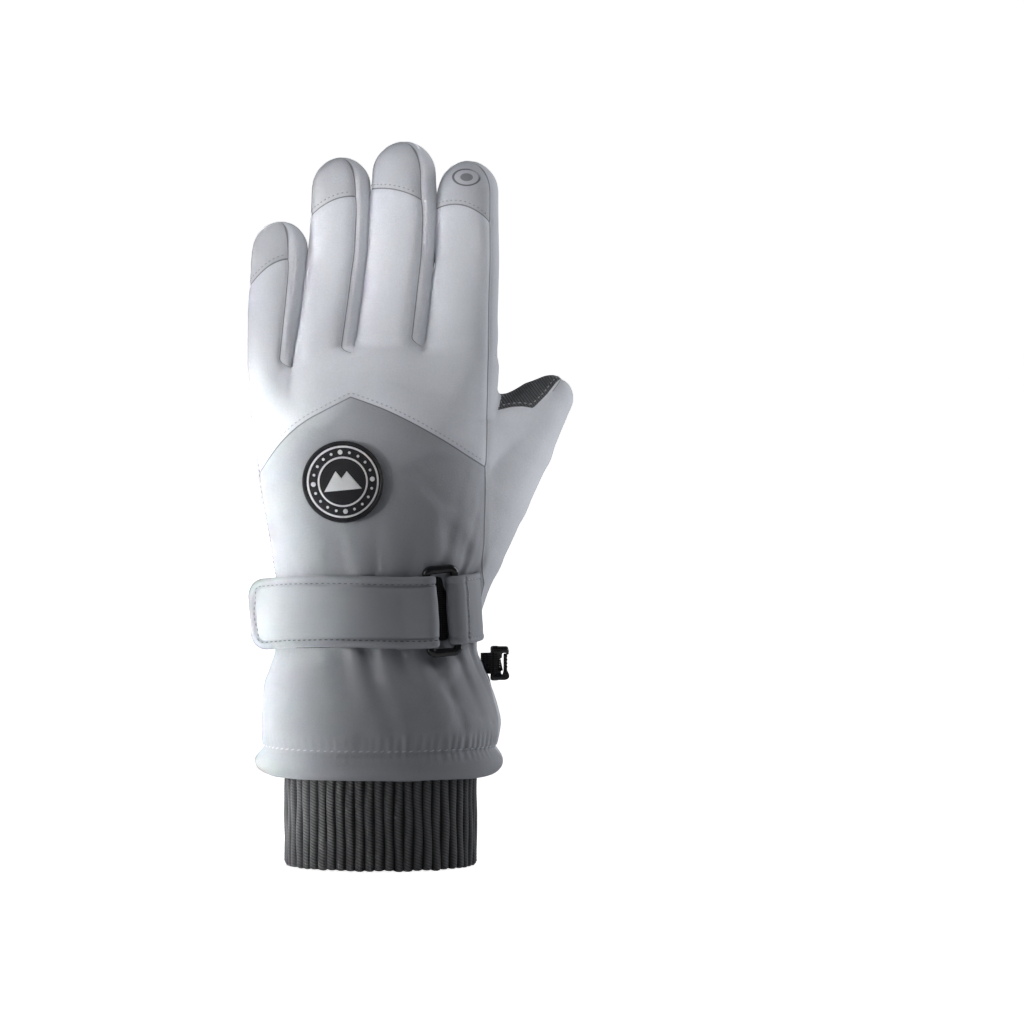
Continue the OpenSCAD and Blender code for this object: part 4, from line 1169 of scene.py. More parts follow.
def make_piece(name, k):
    fsel = np.where(piece == k)[0]
    lsel = np.concatenate([np.arange(ls[f], ls[f] + lt[f]) for f in fsel]) if len(fsel) else np.array([], int)
    vid, inv = np.unique(li[lsel], return_inverse=True)
    faces, o = [], 0
    inv = inv.tolist()
    for t in lt[fsel].tolist():
        faces.append(inv[o:o + t]); o += t
    nshell, nv = len(faces), len(vid)
    pv = [co[vid]]
    a = {key: [at[key][vid]] for key in at}
    tone = [np.zeros(nv)]
    srows = np.where(crow_piece == k)[0]
    off = nv
    for r_ in srows:
        vs = slice(r_ * 20, r_ * 20 + 20)
        pv.append(cv[vs] * MM)
        for key in at:
            src_ = at[key][csrc[vs]]
            a[key].append(cv[vs] * MM if key == "rest" else src_)
        tone.append(ctone[vs])
        faces.extend([tuple(i - r_ * 20 + off for i in f) for f in cf[r_ * nfc:(r_ + 1) * nfc]])
        off += 20
    me = bpy.data.meshes.new(name)
    me.from_pydata(np.concatenate(pv).tolist(), [], faces)
    for key in a:
        val = np.concatenate(a[key]).astype(np.float32)
        if key == "rest":
            me.attributes.new(key, "FLOAT_VECTOR", "POINT").data.foreach_set("vector", val.ravel())
        elif key.startswith("a_") and key not in ("a_t1", "a_t2"):
            me.attributes.new(key, "FLOAT", "POINT").data.foreach_set("value", val)
    me.attributes.new("tone", "FLOAT", "POINT").data.foreach_set("value", np.concatenate(tone).astype(np.float32))
    me.materials.append(M_SHELL); me.materials.append(M_THREAD)
    mi = np.zeros(len(faces), np.int32); mi[nshell:] = 1
    me.polygons.foreach_set("material_index", mi)
    me.shade_smooth()
    nrm = np.zeros((len(me.loops), 3), np.float32)
    lv = np.zeros(len(me.loops), np.int32); me.loops.foreach_get("vertex_index", lv)
    sh = lv < nv
    nrm[sh] = vnorm[vid][lv[sh]]
    me.normals_split_custom_set(nrm.tolist())
    ob = bpy.data.objects.new(name, me); COL.objects.link(ob)
    w1 = np.concatenate(a["w_t1"]); w2 = np.concatenate(a["w_t2"])

    def weights(w):
        me.attributes["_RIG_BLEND"].data.foreach_set("value", w.astype(np.float32))

    if name.startswith("thumb_tip"):
        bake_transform(ob, "thumb_base", "thumb_tip", tuple(PL["thumb_tip"][0] * MM), tuple(PL["thumb_tip"][1] * MM)); weights(w2)
    elif name == "thumb_base_sleeve":
        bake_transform(ob, "hand", "thumb_base", tuple(PL["thumb_base"][0] * MM), tuple(PL["thumb_base"][1] * MM)); weights(w1)
    elif name.split("_")[0] in FN and "_base" in name:
        f_ = name.split("_")[0]
        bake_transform(ob, "hand", f_ + "_base", tuple(PL[f_ + "_base"][0] * MM), tuple(PL[f_ + "_base"][1] * MM))
    elif name.split("_")[0] in FN and name.endswith("_cap"):
        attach(ob, name.split("_")[0] + "_tip")
    elif name.split("_")[0] in FN:
        f_ = name.split("_")[0]
        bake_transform(ob, f_ + "_base", f_ + "_tip", tuple(PL[f_ + "_tip"][0] * MM), tuple(PL[f_ + "_tip"][1] * MM))
    elif name in ("gauntlet_back", "gauntlet_palm", "hem_roll"):
        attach(ob, "cuff")
    elif name in ("back_upper_panel", "crotch_patch"):
        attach(ob, "hand")
    else:
        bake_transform(ob, "cuff", "hand", (-0.0018, 0, 0.117), (-0.0018, 0, 0.145))
    if REPL.get(name):
        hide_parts(*REPL[name])
    return ob


PIECES = {NAMES[k]: make_piece(NAMES[k], k) for k in range(len(NAMES)) if (piece == k).any()}
log("panels built", len(PIECES))

# ------------------------------------------------------------------ knit cuff, strap, loop, clip and badge
def add(name, V_, F_, mats, body, repl=(), mi=None, extra=None, smooth_=True):
    V_ = np.asarray(V_, float)
    me = bpy.data.meshes.new(name)
    me.from_pydata((V_ * MM).tolist(), [], F_ if isinstance(F_, list) else F_.tolist())
    me.attributes.new("rest", "FLOAT_VECTOR", "POINT").data.foreach_set("vector", (V_ * MM).astype(np.float32).ravel())
    for k, v in (extra or {}).items():
        me.attributes.new(k, "FLOAT", "POINT").data.foreach_set("value", np.asarray(v, np.float32))
    for m in mats:
        me.materials.append(m)
    if mi is not None:
        me.polygons.foreach_set("material_index", np.asarray(mi, np.int32))
    if smooth_:
        me.shade_smooth()
    ob = bpy.data.objects.new(name, me); COL.objects.link(ob)
    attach(ob, body)
    if repl:
        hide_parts(*[r for r in repl if r in ALLN])
    return ob


def weld(ob, d=1e-5):
    b = bmesh.new(); b.from_mesh(ob.data)
    bmesh.ops.remove_doubles(b, verts=b.verts, dist=d)
    bmesh.ops.dissolve_degenerate(b, dist=1e-6, edges=b.edges)
    bmesh.ops.recalc_face_normals(b, faces=b.faces)
    b.to_mesh(ob.data); b.free()
    return ob


def oval_uniform(a, b, n, e=2.25):
    """n points equally spaced round a soft oval, with outward normals."""
    th = np.linspace(0, 2 * np.pi, 4001)
    c, s = np.cos(th), np.sin(th)
    px, py = a * np.sign(c) * np.abs(c) ** (2 / e), b * np.sign(s) * np.abs(s) ** (2 / e)
    L = np.concatenate([[0], np.cumsum(np.hypot(np.diff(px), np.diff(py)))])
    t = np.arange(n) / n * L[-1]
    X, Y = np.interp(t, L, px), np.interp(t, L, py)
    tx, ty = np.roll(X, -1) - np.roll(X, 1), np.roll(Y, -1) - np.roll(Y, 1)
    k = np.hypot(tx, ty)
    return X, Y, ty / k, -tx / k


def rib_cuff():
    ribs, per = 54, (10)
    n = ribs * per
    X, Y, NX, NY = oval_uniform(40.5, 28.8, n)
    u = (np.arange(n) % per) / per
    k = np.arange(n) // per
    rng = np.random.RandomState(4)
    wob, tw, ht = rng.uniform(-1, 1, ribs)[k], rng.uniform(-1, 1, ribs)[k], rng.uniform(-1, 1, ribs)[k]
    rib = np.sin(np.pi * u) ** 0.6
    dz = 0.30
    zo = np.arange(46, 1.4, -dz)
    path = [(0.0, zz, 1.0, zz) for zz in zo]
    for a in np.linspace(0.12, math.pi - 0.12, 9):
        path.append((-1.45 + 1.45 * math.cos(a), 1.45 - 1.45 * math.sin(a), 1.0 - 0.55 * a / math.pi, 1.4 - a))
    path += [(-2.9, zz, 0.45, zz - 3) for zz in np.arange(1.6, 52, 1.6)]
    Vs, knit_loops_and_valley_shade = [], []
    for off, zz, amp, ph in path:
        g = 0.5 + 0.5 * np.sin(2 * np.pi * (ph / 1.25 + 1.5 * (u - 0.5) + 0.13 * wob))
        sgn = 1 if off > -1.5 else -1
        d = off + sgn * amp * (1.45 * (rib - 1.0) + 0.26 * (g - 0.5) * rib) + 0.18 * ht + 0.16 * np.sin(zz * 0.23 + wob * 5) * amp
        sway = 0.22 * np.sin(zz * 0.16 + wob * 3.1) * amp
        low = 0.45 * (1 - rib) * np.exp(-((zz) / 1.8) ** 2) + 0.25 * ht * np.exp(-(zz / 6) ** 2) + 0.25
        Vs.append(np.stack([X + NX * d - NY * sway - 0.35, Y + NY * d + NX * sway, np.full(n, zz) + low], 1))
        # loop pattern times rib height: the dark valleys between the ribs are painted shade
        knit_loops_and_valley_shade.append(np.clip(rib * 1.25 - 0.35, 0, 1) * (0.45 + 0.55 * g))
    m = len(path)
    idx = np.arange(m * n).reshape(m, n)
    F_ = np.stack([idx[:-1], idx[1:], np.roll(idx, -1, 1)[1:], np.roll(idx, -1, 1)[:-1]], 2).reshape(-1, 4)
    add("rib_knit_cuff", np.concatenate(Vs), F_, [M_KNIT], "cuff", ["rib_cuff"], extra={"knit_loops_and_valley_shade": np.concatenate(knit_loops_and_valley_shade)})


TILT = math.radians(3.2)
SZ = 107.4


def to_world(p):
    """Strap frame to the row frame."""
    p = np.asarray(p, float)
    c, s = math.cos(TILT), math.sin(TILT)
    return np.stack([p[..., 0] * c - p[..., 2] * s, p[..., 1], SZ + p[..., 0] * s + p[..., 2] * c], -1)


def wp(t, off):
    t = np.radians(t)
    return np.stack([-1.8 + (41.5 + off) * np.cos(t), (23.0 + off) * np.sin(t)], -1)


def resample(P, step):
    P = np.asarray(P, float)
    L = np.concatenate([[0], np.cumsum(np.linalg.norm(np.diff(P, axis=0), axis=1))])
    s = np.linspace(0, L[-1], max(int(L[-1] / step), 8))
    Q_ = np.stack([np.interp(s, L, P[:, k]) for k in range(2)], 1)
    for _ in range(6):
        Q_[1:-1] = 0.25 * Q_[:-2] + 0.5 * Q_[1:-1] + 0.25 * Q_[2:]
    return Q_


class Sheet:
    """A soft flat strip that follows a path; the surface is raised by a profile of the distance to its edge."""

    def __init__(self, path, w, half, top, r_start=0.5, r_end=0.5, step=0.45, nv=70, wrink=0.0, seed=3, zoff=0.0, wfun=None):
        self.P = resample(path, step)
        T = np.gradient(self.P, axis=0); T /= np.linalg.norm(T, axis=1)[:, None]
        self.N = np.stack([T[:, 1], -T[:, 0]], 1)
        self.S = np.concatenate([[0], np.cumsum(np.linalg.norm(np.diff(self.P, axis=0), axis=1))])
        self.w, self.half, self.top, self.r0, self.r1 = w, half, top, r_start, r_end
        self.nv = nv
        self.wrink, self.seed, self.zoff, self.wfun = wrink, seed, zoff, wfun

    def edge(self, s, v):
        """Distance to the outline, rounded at both ends."""
        L = self.S[-1]
        out = None
        for d, r in ((s, self.r0), (L - s, self.r1)):
            hw = self.width(s) / 2
            qx, qy = r - d, np.abs(v) - (hw - r)
            sd = np.hypot(np.maximum(qx, 0), np.maximum(qy, 0)) + np.minimum(np.maximum(qx, qy), 0) - r
            out = sd if out is None else np.maximum(out, sd)
        return np.maximum(-out, 0)

    def width(self, s):
        return self.w if self.wfun is None else self.wfun(s)

    def vmax(self, s):
        L = self.S[-1]
        m = self.width(s) / 2
        for d, r in ((s, self.r0), (L - s, self.r1)):
            dd = np.clip(r - d, 0, r)
            m = np.minimum(m, self.width(s) / 2 - (r - np.sqrt(np.maximum(r * r - dd * dd, 0))))
        return m

    def point(self, s, v, side, extra=0.0):
        """side +1 is the outer face, -1 the inner one."""
        s, v = np.asarray(s, float), np.asarray(v, float)
        e = self.edge(s, v)
        rd = np.sqrt(np.maximum(1 - (1 - np.clip(e / 1.25, 0, 1)) ** 2, 0))
        h = self.half * rd
        if side > 0:
            h = h + self.top(e, s, v) * rd
            if self.wrink:
                q = np.stack([s, v, s * 0], -1).reshape(-1, 3)
                h = h + (self.wrink * (hash_noise(q, 9.0, self.seed) + 0.5 * hash_noise(q, 4.0, self.seed + 1))).reshape(s.shape) * rd * np.clip(e / 4, 0.15, 1)
        c = np.stack([np.interp(s, self.S, self.P[:, k]) for k in range(2)], -1)
        n = np.stack([np.interp(s, self.S, self.N[:, k]) for k in range(2)], -1)
        q = c + n * (side * h + extra)[..., None]
        return np.concatenate([q, (v + (self.zoff(s) if callable(self.zoff) else self.zoff))[..., None]], -1)

    def mesh(self):
        t = np.linspace(-1, 1, self.nv)
        t = np.sign(t) * (1 - (1 - np.abs(t)) ** 1.15)
        ss = self.S.copy()
        # finer steps at the ends so that the corners stay round
        ends = np.array([0, 0.02, 0.06, 0.12, 0.2, 0.3])
        ss = np.unique(np.concatenate([ends, ss, ss[-1] - ends]))
        vm = self.vmax(ss)
        s2, v2 = np.repeat(ss[:, None], len(t), 1), vm[:, None] * t[None]
        A, B = self.point(s2, v2, 1), self.point(s2, v2, -1)
        m, n = s2.shape
        ia, ib = np.arange(m * n).reshape(m, n), np.arange(m * n).reshape(m, n) + m * n
        f1 = np.stack([ia[:-1, :-1], ia[:-1, 1:], ia[1:, 1:], ia[1:, :-1]], 2).reshape(-1, 4)
        f2 = np.stack([ib[:-1, :-1], ib[1:, :-1], ib[1:, 1:], ib[:-1, 1:]], 2).reshape(-1, 4)
        rings = []
        for j in (0, n - 1):
            rings.append(np.stack([ia[:-1, j], ia[1:, j], ib[1:, j], ib[:-1, j]], 1))
        for i in (0, m - 1):
            rings.append(np.stack([ia[i, :-1], ia[i, 1:], ib[i, 1:], ib[i, :-1]], 1))
        return np.concatenate([to_world(A.reshape(-1, 3)), to_world(B.reshape(-1, 3))]), np.concatenate([f1, f2] + rings)

    def seam(self, s, v, **kw):
        P_ = to_world(self.point(s, v, 1))
        Pe = to_world(self.point(s, v, 1, 0.5))
        n = Pe - P_
        return stitches_on((P_, n, np.zeros(len(P_), int)), **kw)


def with_stitches(name, sh, rows, mats, body, repl):
    V_, F_ = sh.mesh()
    ob = add(name, V_, F_, mats, body, repl)
    weld(ob)
    if rows:
        a, f, tn, _ = capsule_mesh(rows)
        me = ob.data
        b = bmesh.new(); b.from_mesh(me)
        rl = b.verts.layers.float_vector["rest"]; tl = b.verts.layers.float.new("tone")
        vs = []
        for p, q in zip(a * MM, tn):
            v = b.verts.new(p); v[rl] = Vector(p); v[tl] = q; vs.append(v)
        for q in f:
            nf = b.faces.new([vs[i] for i in q]); nf.material_index = 1; nf.smooth = True
        b.to_mesh(me); b.free()
    return ob


def strap():
    BL, BR = np.array([20.3, -25.6]), np.array([31.8, -20.2])
    # pull tab: free end, along the back, round the bar and a little way back under itself
    a0 = wp(-140, 6.8)
    free = [a0 + np.array([-0.79, 0.61]) * d for d in np.linspace(20.0, 1.5, 14)]
    arcp = [wp(t, 6.8) for t in np.linspace(-140, -76, 50)]
    R = 3.05
    ring = [BL + R * np.array([math.sin(a), -math.cos(a)]) for a in np.linspace(-0.15, 3.0, 24)]
    under = [wp(t, 3.9 + 0.0) for t in (-71, -74, -77, -80)]
    path = free + arcp + ring + [BL + np.array([-2.5, 2.9])] + under

    def top(e, s, v):
        bead = 1.1 * np.sqrt(np.maximum(1 - ((e - 1.75) / 1.85) ** 2, 0)) * smooth((84.5 - s) / 1.5 + 0.5)
        grv = -0.7 * np.exp(-((e - 3.75) / 0.45) ** 2)
        panel = smooth((e - 3.9) / 1.1) * (0.35 + 0.75 * smooth((e - 4) / 8))
        flat = smooth((s - 84) / 2.5)
        crease = -0.16 * np.exp(-(((s - 79) - 0.30 * v) / 1.1) ** 2) * smooth((v - 2) / 5)
        return (bead + grv + panel * (1 - flat) + crease) * (1 - 0.6 * flat)

    sh = Sheet(path, 30.0, 0.95, top, r_start=8.0, r_end=1.0, nv=96, wrink=0.16,
               zoff=lambda s_: 0.1 + 2.9 * smooth((84 - s_) / 50) - 1.3 * smooth((26 - s_) / 26))
    rows = []
    s = np.linspace(8.2, 84.5, 170)
    for sg in (-1, 1):
        rows += sh.seam(s, np.full(len(s), sg * (15 - 3.2)), pitch=2.45, length=1.6, r=0.26, tone=0.12 if sg < 0 else 0.2)
    a = np.linspace(-math.pi / 2, math.pi / 2, 70)
    rows += sh.seam(np.clip(8 - 4.8 * np.cos(a), 0.1, None), (15 - 8) * np.sign(np.sin(a)) * smooth(np.abs(a) * 1.3) + 4.8 * np.sin(a), pitch=2.3, length=1.5, r=0.26, tone=0.15)
    with_stitches("wrist_pull_tab", sh, rows, [M_STRAP, M_THREAD], "tab", ["pull_tab"])
    flat0 = lambda e, s, v: 0 * e
    # painted shade: the under layer is black so that the gap beside the loop reads as shadow
    with_stitches("strap_under_layer", Sheet([wp(t, 2.65 - 0.75 * float(smooth((t + 73) / 12))) for t in np.linspace(-168, -47, 90)], 27.0, 0.62, flat0, 1.5, 1.5, 0.8, 40, zoff=0.9), [], [M_WEB_AND_SHADE], "cuff", ["strap_base"])
    with_stitches("strap_loop_pile", Sheet([wp(t, 3.8) for t in np.linspace(-138, -84, 40)], 24.0, 0.38, flat0, 2.0, 2.0, 0.8, 40), [], [M_PILE], "cuff", ["loop_patch"])
    with_stitches("strap_hook_patch", Sheet([wp(t, 4.8) for t in np.linspace(-138, -104, 40)], 22.0, 0.42, flat0, 2.0, 2.0, 0.8, 40), [], [M_HOOK], "tab", ["hook_patch"])
    # anchor: sewn into the side seam, folded round the loop's other bar
    R = 3.0
    seam_ = np.array([41.0, -4.2])
    o = [seam_, np.array([41.7, -7.2]), np.array([41.3, -10.8]), np.array([39.9, -15.0]), np.array([37.6, -19.0]), np.array([35.0, -22.0])]
    ring = [BR + R * np.array([math.cos(a), math.sin(a)]) for a in np.linspace(-1.25, -4.1, 20)]
    back = [BR + np.array([1.0, 2.9]), BR + np.array([3.5, 1.9]), np.array([36.8, -16.4]), np.array([38.4, -13.6])]
    path = (o + ring + back)[::-1]  # so that the outward normal points away from the hand

    def top2(e, s, v):
        L = sh2.S[-1]
        d = L - s
        return 0.30 * np.sqrt(np.maximum(1 - ((e - 1.3) / 1.4) ** 2, 0)) - 0.25 * np.exp(-((e - 2.8) / 0.4) ** 2) - 0.35 * np.exp(-((d - 18.3) / 0.5) ** 2) + 0.3 * smooth((e - 3) / 4)

    sh2 = Sheet(path, 28.6, 0.72, top2, 1.0, 0.8, 0.45, 64, 0.14, 8)
    L = sh2.S[-1]
    vv = np.linspace(-13.2, 13.2, 70)
    rows = sh2.seam(np.full(70, L - 17.4), vv, pitch=2.3, length=1.4, r=0.24, tone=0.75)
    ds = np.linspace(L - 17.6, L - 2, 40)
    for sg in (-1, 1):
        rows += sh2.seam(ds, np.full(40, sg * 12.2), pitch=2.3, length=1.3, r=0.23, tone=0.75)
    with_stitches("strap_anchor_tab", sh2, rows, [M_STRAP, M_THREAD], "cuff", ["strap_anchor"])
    # moulded rectangular loop
    h = 0.26
    v = BR - BL; vl = np.linalg.norm(v); v = v / vl; nrm = np.array([v[1], -v[0]])
    gx, gq, gz = np.arange(-5, vl + 5, h), np.arange(-3.2, 3.2, h), np.arange(-21.5, 21.5, h)
    A, B, C = np.meshgrid(gx, gq, gz, indexing="ij")
    hx, hz, rr = vl / 2, 17.3, 2.2
    qx, qz = np.abs(A - vl / 2) - hx + rr, np.abs(C) - hz + rr
    sd = np.hypot(np.maximum(qx, 0), np.maximum(qz, 0)) + np.minimum(np.maximum(qx, qz), 0) - rr
    bar = smooth((np.abs(C) - 14.3) / 2.2)
    rad = 1.42 + 0.4 * bar
    dd = ((np.abs(sd) / rad) ** 2.6 + (np.abs(B) / (rad * (1.02))) ** 2.6) ** (1 / 2.6)
    D_ = (dd - 1) * rad
    LV, LQ = surface_nets(D_.astype(np.float32), np.array([gx[0], gq[0], gz[0]]), h)
    LV = laplace(LV, edges_of(LQ), 6, 0.5, -0.52)
    W = np.stack([BL[0] + LV[:, 0] * v[0] + LV[:, 1] * nrm[0], BL[1] + LV[:, 0] * v[1] + LV[:, 1] * nrm[1], LV[:, 2]], 1)
    ob = add("strap_rectangular_loop", to_world(W), LQ, [M_PLASTIC], "loop", ["strap_loop"])
    fix_out(ob)


def fix_out(ob):
    b = bmesh.new(); b.from_mesh(ob.data)
    bmesh.ops.recalc_face_normals(b, faces=b.faces)
    b.to_mesh(ob.data); b.free()


def rbox(X, Y, Z, c, hx, hy, hz, r):
    qx, qy, qz = np.abs(X - c[0]) - hx + r, np.abs(Y - c[1]) - hy + r, np.abs(Z - c[2]) - hz + r
    return np.sqrt(np.maximum(qx, 0) ** 2 + np.maximum(qy, 0) ** 2 + np.maximum(qz, 0) ** 2) + np.minimum(np.maximum(np.maximum(qx, qy), qz), 0) - r


def clip():
    h = 0.19
    gx, gy, gz = np.arange(39.5, 56, h), np.arange(-4.2, 4.2, h), np.arange(76, 94, h)
    X, Y, Z = np.meshgrid(gx, gy, gz, indexing="ij")
    o = np.array([gx[0], gy[0], gz[0]])
    bar = np.maximum(np.hypot(X - 47.4, Y) - 1.25, np.abs(Z - 85) - 6.8)
    up = rbox(X, Y, Z, (49.9, 0, 90.75), 3.6, 2.1, 1.35, 0.9)
    lo_ = rbox(X, Y, Z, (49.5, 0, 79.1), 3.3, 2.1, 1.15, 0.85)
    pin = np.maximum(np.hypot(X - 52.4, Z - 80.5) - 1.35, np.abs(Y) - 2.1)
    d = smin(smin(bar, up, 1.3), lo_, 1.3)
    d = smax(d, -rbox(X, Y, Z, (52.5, 0, 82.0), 1.75, 2.0, 2.0, 0.5), 0.3)
    d = smin(d, np.maximum(np.hypot(X - 52.4, Z - 79.7) - 1.5, np.abs(np.abs(Y) - 1.95) - 0.3), 0.3)
    d = smin(d, rbox(X, Y, Z, (48.9, 0, 88.6), 1.9, 1.9, 1.5, 0.7), 0.8)
    d = smin(d, rbox(X, Y, Z, (48.7, 0, 81.3), 1.7, 1.9, 1.5, 0.7), 0.8)
    lip = rbox(X, Y, Z, (53.15, 0, 89.6), 0.5, 1.5, 0.9, 0.3)
    d = smin(d, lip, 0.6)
    d = np.minimum(d, np.maximum(rbox(X, Y, Z, (50.68, 0, 86.0), 0.80, 0.45, 4.2, 0.1), X - 51.55 + 0.2126 * (Z - 80.4)))
    Vc, Qc = surface_nets(d.astype(np.float32), o, h)
    ob = add("pairing_clip_frame", laplace(Vc, edges_of(Qc), 6, 0.5, -0.52), Qc, [M_PLASTIC], "clip", ["clip_body"]); fix_out(ob)
    g = rbox(X, Y, Z, (52.2, 0, 84.6), 0.8, 1.6, 4.4, 0.45)
    g = smin(g, np.maximum(np.hypot(X - 52.4, Z - 80.4) - 1.2, np.abs(Y) - 1.55), 0.8)
    rid = 0.16 * np.cos((Z - 85) * 2 * np.pi / 1.5) * (X > 52.3) * smooth((3.2 - np.abs(Z - 85.5)) / 1.0)
    g = g - rid
    g = smax(g, -rbox(X, Y, Z, (51.0, 0, 86.0), 1.15, 0.85, 4.2, 0.2), 0.15)
    Vc, Qc = surface_nets(g.astype(np.float32), o, h)
    ob = add("pairing_clip_gate", laplace(Vc, edges_of(Qc), 4, 0.5, -0.52), Qc, [M_PLASTIC], "gate", ["clip_gate"]); fix_out(ob)
    ring = np.abs(np.hypot(X - 47.4, Y) - 2.05) - 0.42
    flat_ = np.maximum(np.maximum(np.abs(Y) - 0.95, X - 46.2), 41.8 - X)
    w_ = smin(ring, flat_, 0.5)
    w_ = smax(w_, -(np.hypot(X - 47.4, Y) - 1.55), 0.2)
    w_ = smax(w_, np.abs(Z - 85) - 4.5, 0.35)
    w_ = smax(w_, -(np.maximum(np.abs(Y) - 0.06, X - 45.6)), 0.2)
    w_ = w_ - 0.07 * np.cos(Z * 2 * np.pi / 1.0)
    Vc, Qc = surface_nets(w_.astype(np.float32), o, h)
    ob = add("clip_tape", laplace(Vc, edges_of(Qc), 2, 0.4, -0.42), Qc, [M_WEB_AND_SHADE], "cuff", ["clip_webbing"]); fix_out(ob)


def badge():
    c0 = np.array([-15.1, 162.5])
    m = (np.hypot(V2[:, 0] - c0[0], V2[:, 2] - c0[1]) < 17.5) & (V2[:, 1] < -5) & ~inner
    u, v, yy = V2[m, 0] - c0[0], V2[m, 2] - c0[1], V2[m, 1]
    A = np.stack([np.ones_like(u), u, v, u * u, u * v, v * v], 1)
    k, *_ = np.linalg.lstsq(A, yy, rcond=None)
    res = yy - A @ k
    k[0] += np.percentile(res, 12)
    k[3:] *= 0.75
    ca, sa = math.cos(math.radians(-5.5)), math.sin(math.radians(-5.5))

    def P(a, b, h):
        """Badge coordinates (right, up, height) to the row frame, bent over the hand."""
        a, b, h = np.broadcast_arrays(np.asarray(a, float), b, h)
        u_, v_ = a * ca + b * sa, -a * sa + b * ca
        y_ = k[0] + k[1] * u_ + k[2] * v_ + k[3] * u_ ** 2 + k[4] * u_ * v_ + k[5] * v_ ** 2
        nu, nv_ = k[1] + 2 * k[3] * u_ + k[4] * v_, k[2] + 2 * k[5] * v_ + k[4] * u_
        nn = np.stack([nu, -np.ones_like(nu), nv_], -1)
        nn = nn / np.linalg.norm(nn, axis=-1)[..., None]
        return np.stack([c0[0] + u_, y_, c0[1] + v_], -1) + nn * h[..., None]

    def revolve(prof, n=120, closed=False):
        r, h_ = np.array(prof).T
        th = np.linspace(0, 2 * np.pi, n, endpoint=False)
        pts = P(r[:, None] * np.cos(th), r[:, None] * np.sin(th), h_[:, None] + 0 * th).reshape(-1, 3)
        m_ = len(prof)
        idx = np.arange(m_ * n).reshape(m_, n)
        nx = np.roll(idx, -1, 1)
        rng_ = range(m_ if closed else m_ - 1)
        F_ = [(int(idx[i, j]), int(nx[i, j]), int(nx[(i + 1) % m_, j]), int(idx[(i + 1) % m_, j])) for i in rng_ for j in range(n)]
        return pts, F_

    nseg = 144
    base = [(0.02, 1.55), (2, 1.55), (5, 1.55), (8, 1.55), (11, 1.55), (13.5, 1.55), (15.2, 1.55), (15.5, 1.62), (15.62, 1.95), (15.75, 2.22), (15.95, 2.34), (16.3, 2.34), (16.58, 2.24), (16.74, 2.0),
            (16.8, 1.6), (16.82, 0.8), (16.8, 0.1), (16.7, -0.8), (15.5, -1.3), (0.02, -1.3)]
    pts, F_ = revolve(base, nseg)
    ob = add("round_badge_base", pts, F_, [M_RUBBER], "hand", ["badge_base"]); weld(ob, 3e-5)
    VV, FF, o = [], [], 0

    def put(p, f):
        nonlocal o
        VV.append(p); FF.extend([tuple(i + o for i in q) for q in f]); o += len(p)

    for ra, rb in ((14.05, 14.85), (9.6, 10.35)):
        prof = [(ra, 1.45), (ra, 1.86), (ra + 0.08, 1.97), (ra + 0.2, 2.02), (rb - 0.2, 2.02), (rb - 0.08, 1.97), (rb, 1.86), (rb, 1.45)]
        put(*revolve(prof, nseg, closed=True))
    for i in range(20):
        th = math.radians(18 * i)
        r = 1.0 if i % 5 == 0 else 0.58
        n = 20 if i % 5 == 0 else 14
        rings_ = [(1.0, 1.45), (1.0, 1.82), (0.9, 1.95), (0.72, 2.02), (0.0, 2.04)]
        a = np.linspace(0, 2 * np.pi, n, endpoint=False)
        pts = []
        for q, h_ in rings_[:-1]:
            pts.append(P(12.2 * math.cos(th) + r * q * np.cos(a), 12.2 * math.sin(th) + r * q * np.sin(a), h_ + 0 * a))
        pts = np.concatenate(pts + [P(np.array([12.2 * math.cos(th)]), np.array([12.2 * math.sin(th)]), np.array([2.04]))])
        F_ = [(l * n + j, l * n + (j + 1) % n, (l + 1) * n + (j + 1) % n, (l + 1) * n + j) for l in range(3) for j in range(n)]
        F_ += [(3 * n + j, 3 * n + (j + 1) % n, 4 * n) for j in range(n)] + [tuple(range(n))[::-1]]
        put(pts, F_)
    poly = np.array([[-8, -3.5], [-2.6, 4.6], [-0.4, 1.4], [2, 4.2], [7.6, -3.5]])[::-1]
    # denser outline, and an inset copy for the bevel
    dense = []
    for a, b in zip(poly, np.roll(poly, -1, 0)):
        for t in np.linspace(0, 1, 8, endpoint=False):
            dense.append(a * (1 - t) + b * t)
    dense = np.array(dense)

    def inset(pl, d):
        out = []
        n = len(pl)
        for i in range(n):
            a, b, c = pl[i - 1], pl[i], pl[(i + 1) % n]
            e1, e2 = (b - a) / np.linalg.norm(b - a), (c - b) / np.linalg.norm(c - b)
            n1, n2 = np.array([-e1[1], e1[0]]), np.array([-e2[1], e2[0]])
            bis = n1 + n2
            out.append(b + bis / max(bis @ n1, 0.35) * d)
        return np.array(out)

    layers = [(dense, 1.45), (dense, 1.85), (inset(dense, 0.08), 1.97), (inset(dense, 0.2), 2.03)]
    n = len(dense)
    pts = np.concatenate([P(l[:, 0], l[:, 1], np.full(n, h_)) for l, h_ in layers])
    F_ = [(l * n + j, l * n + (j + 1) % n, (l + 1) * n + (j + 1) % n, (l + 1) * n + j) for l in range(3) for j in range(n)]
    F_ += [tuple(range(3 * n, 4 * n)), tuple(range(n))[::-1]]
    put(pts, F_)
    ob = add("round_badge_relief", np.concatenate(VV), FF, [M_RELIEF], "hand", ["badge_relief"])
    fix_out(ob)
    ob.data.set_sharp_from_angle(angle=math.radians(32))
    return ob


rib_cuff(); strap(); clip(); badge()
log("hardware built")
bpy.context.view_layer.update()
left = [o.name for o in bpy.data.objects if o.type == "MESH" and not o.hide_render and o.name in ALLN]
log("CAD nodes still shown", left)

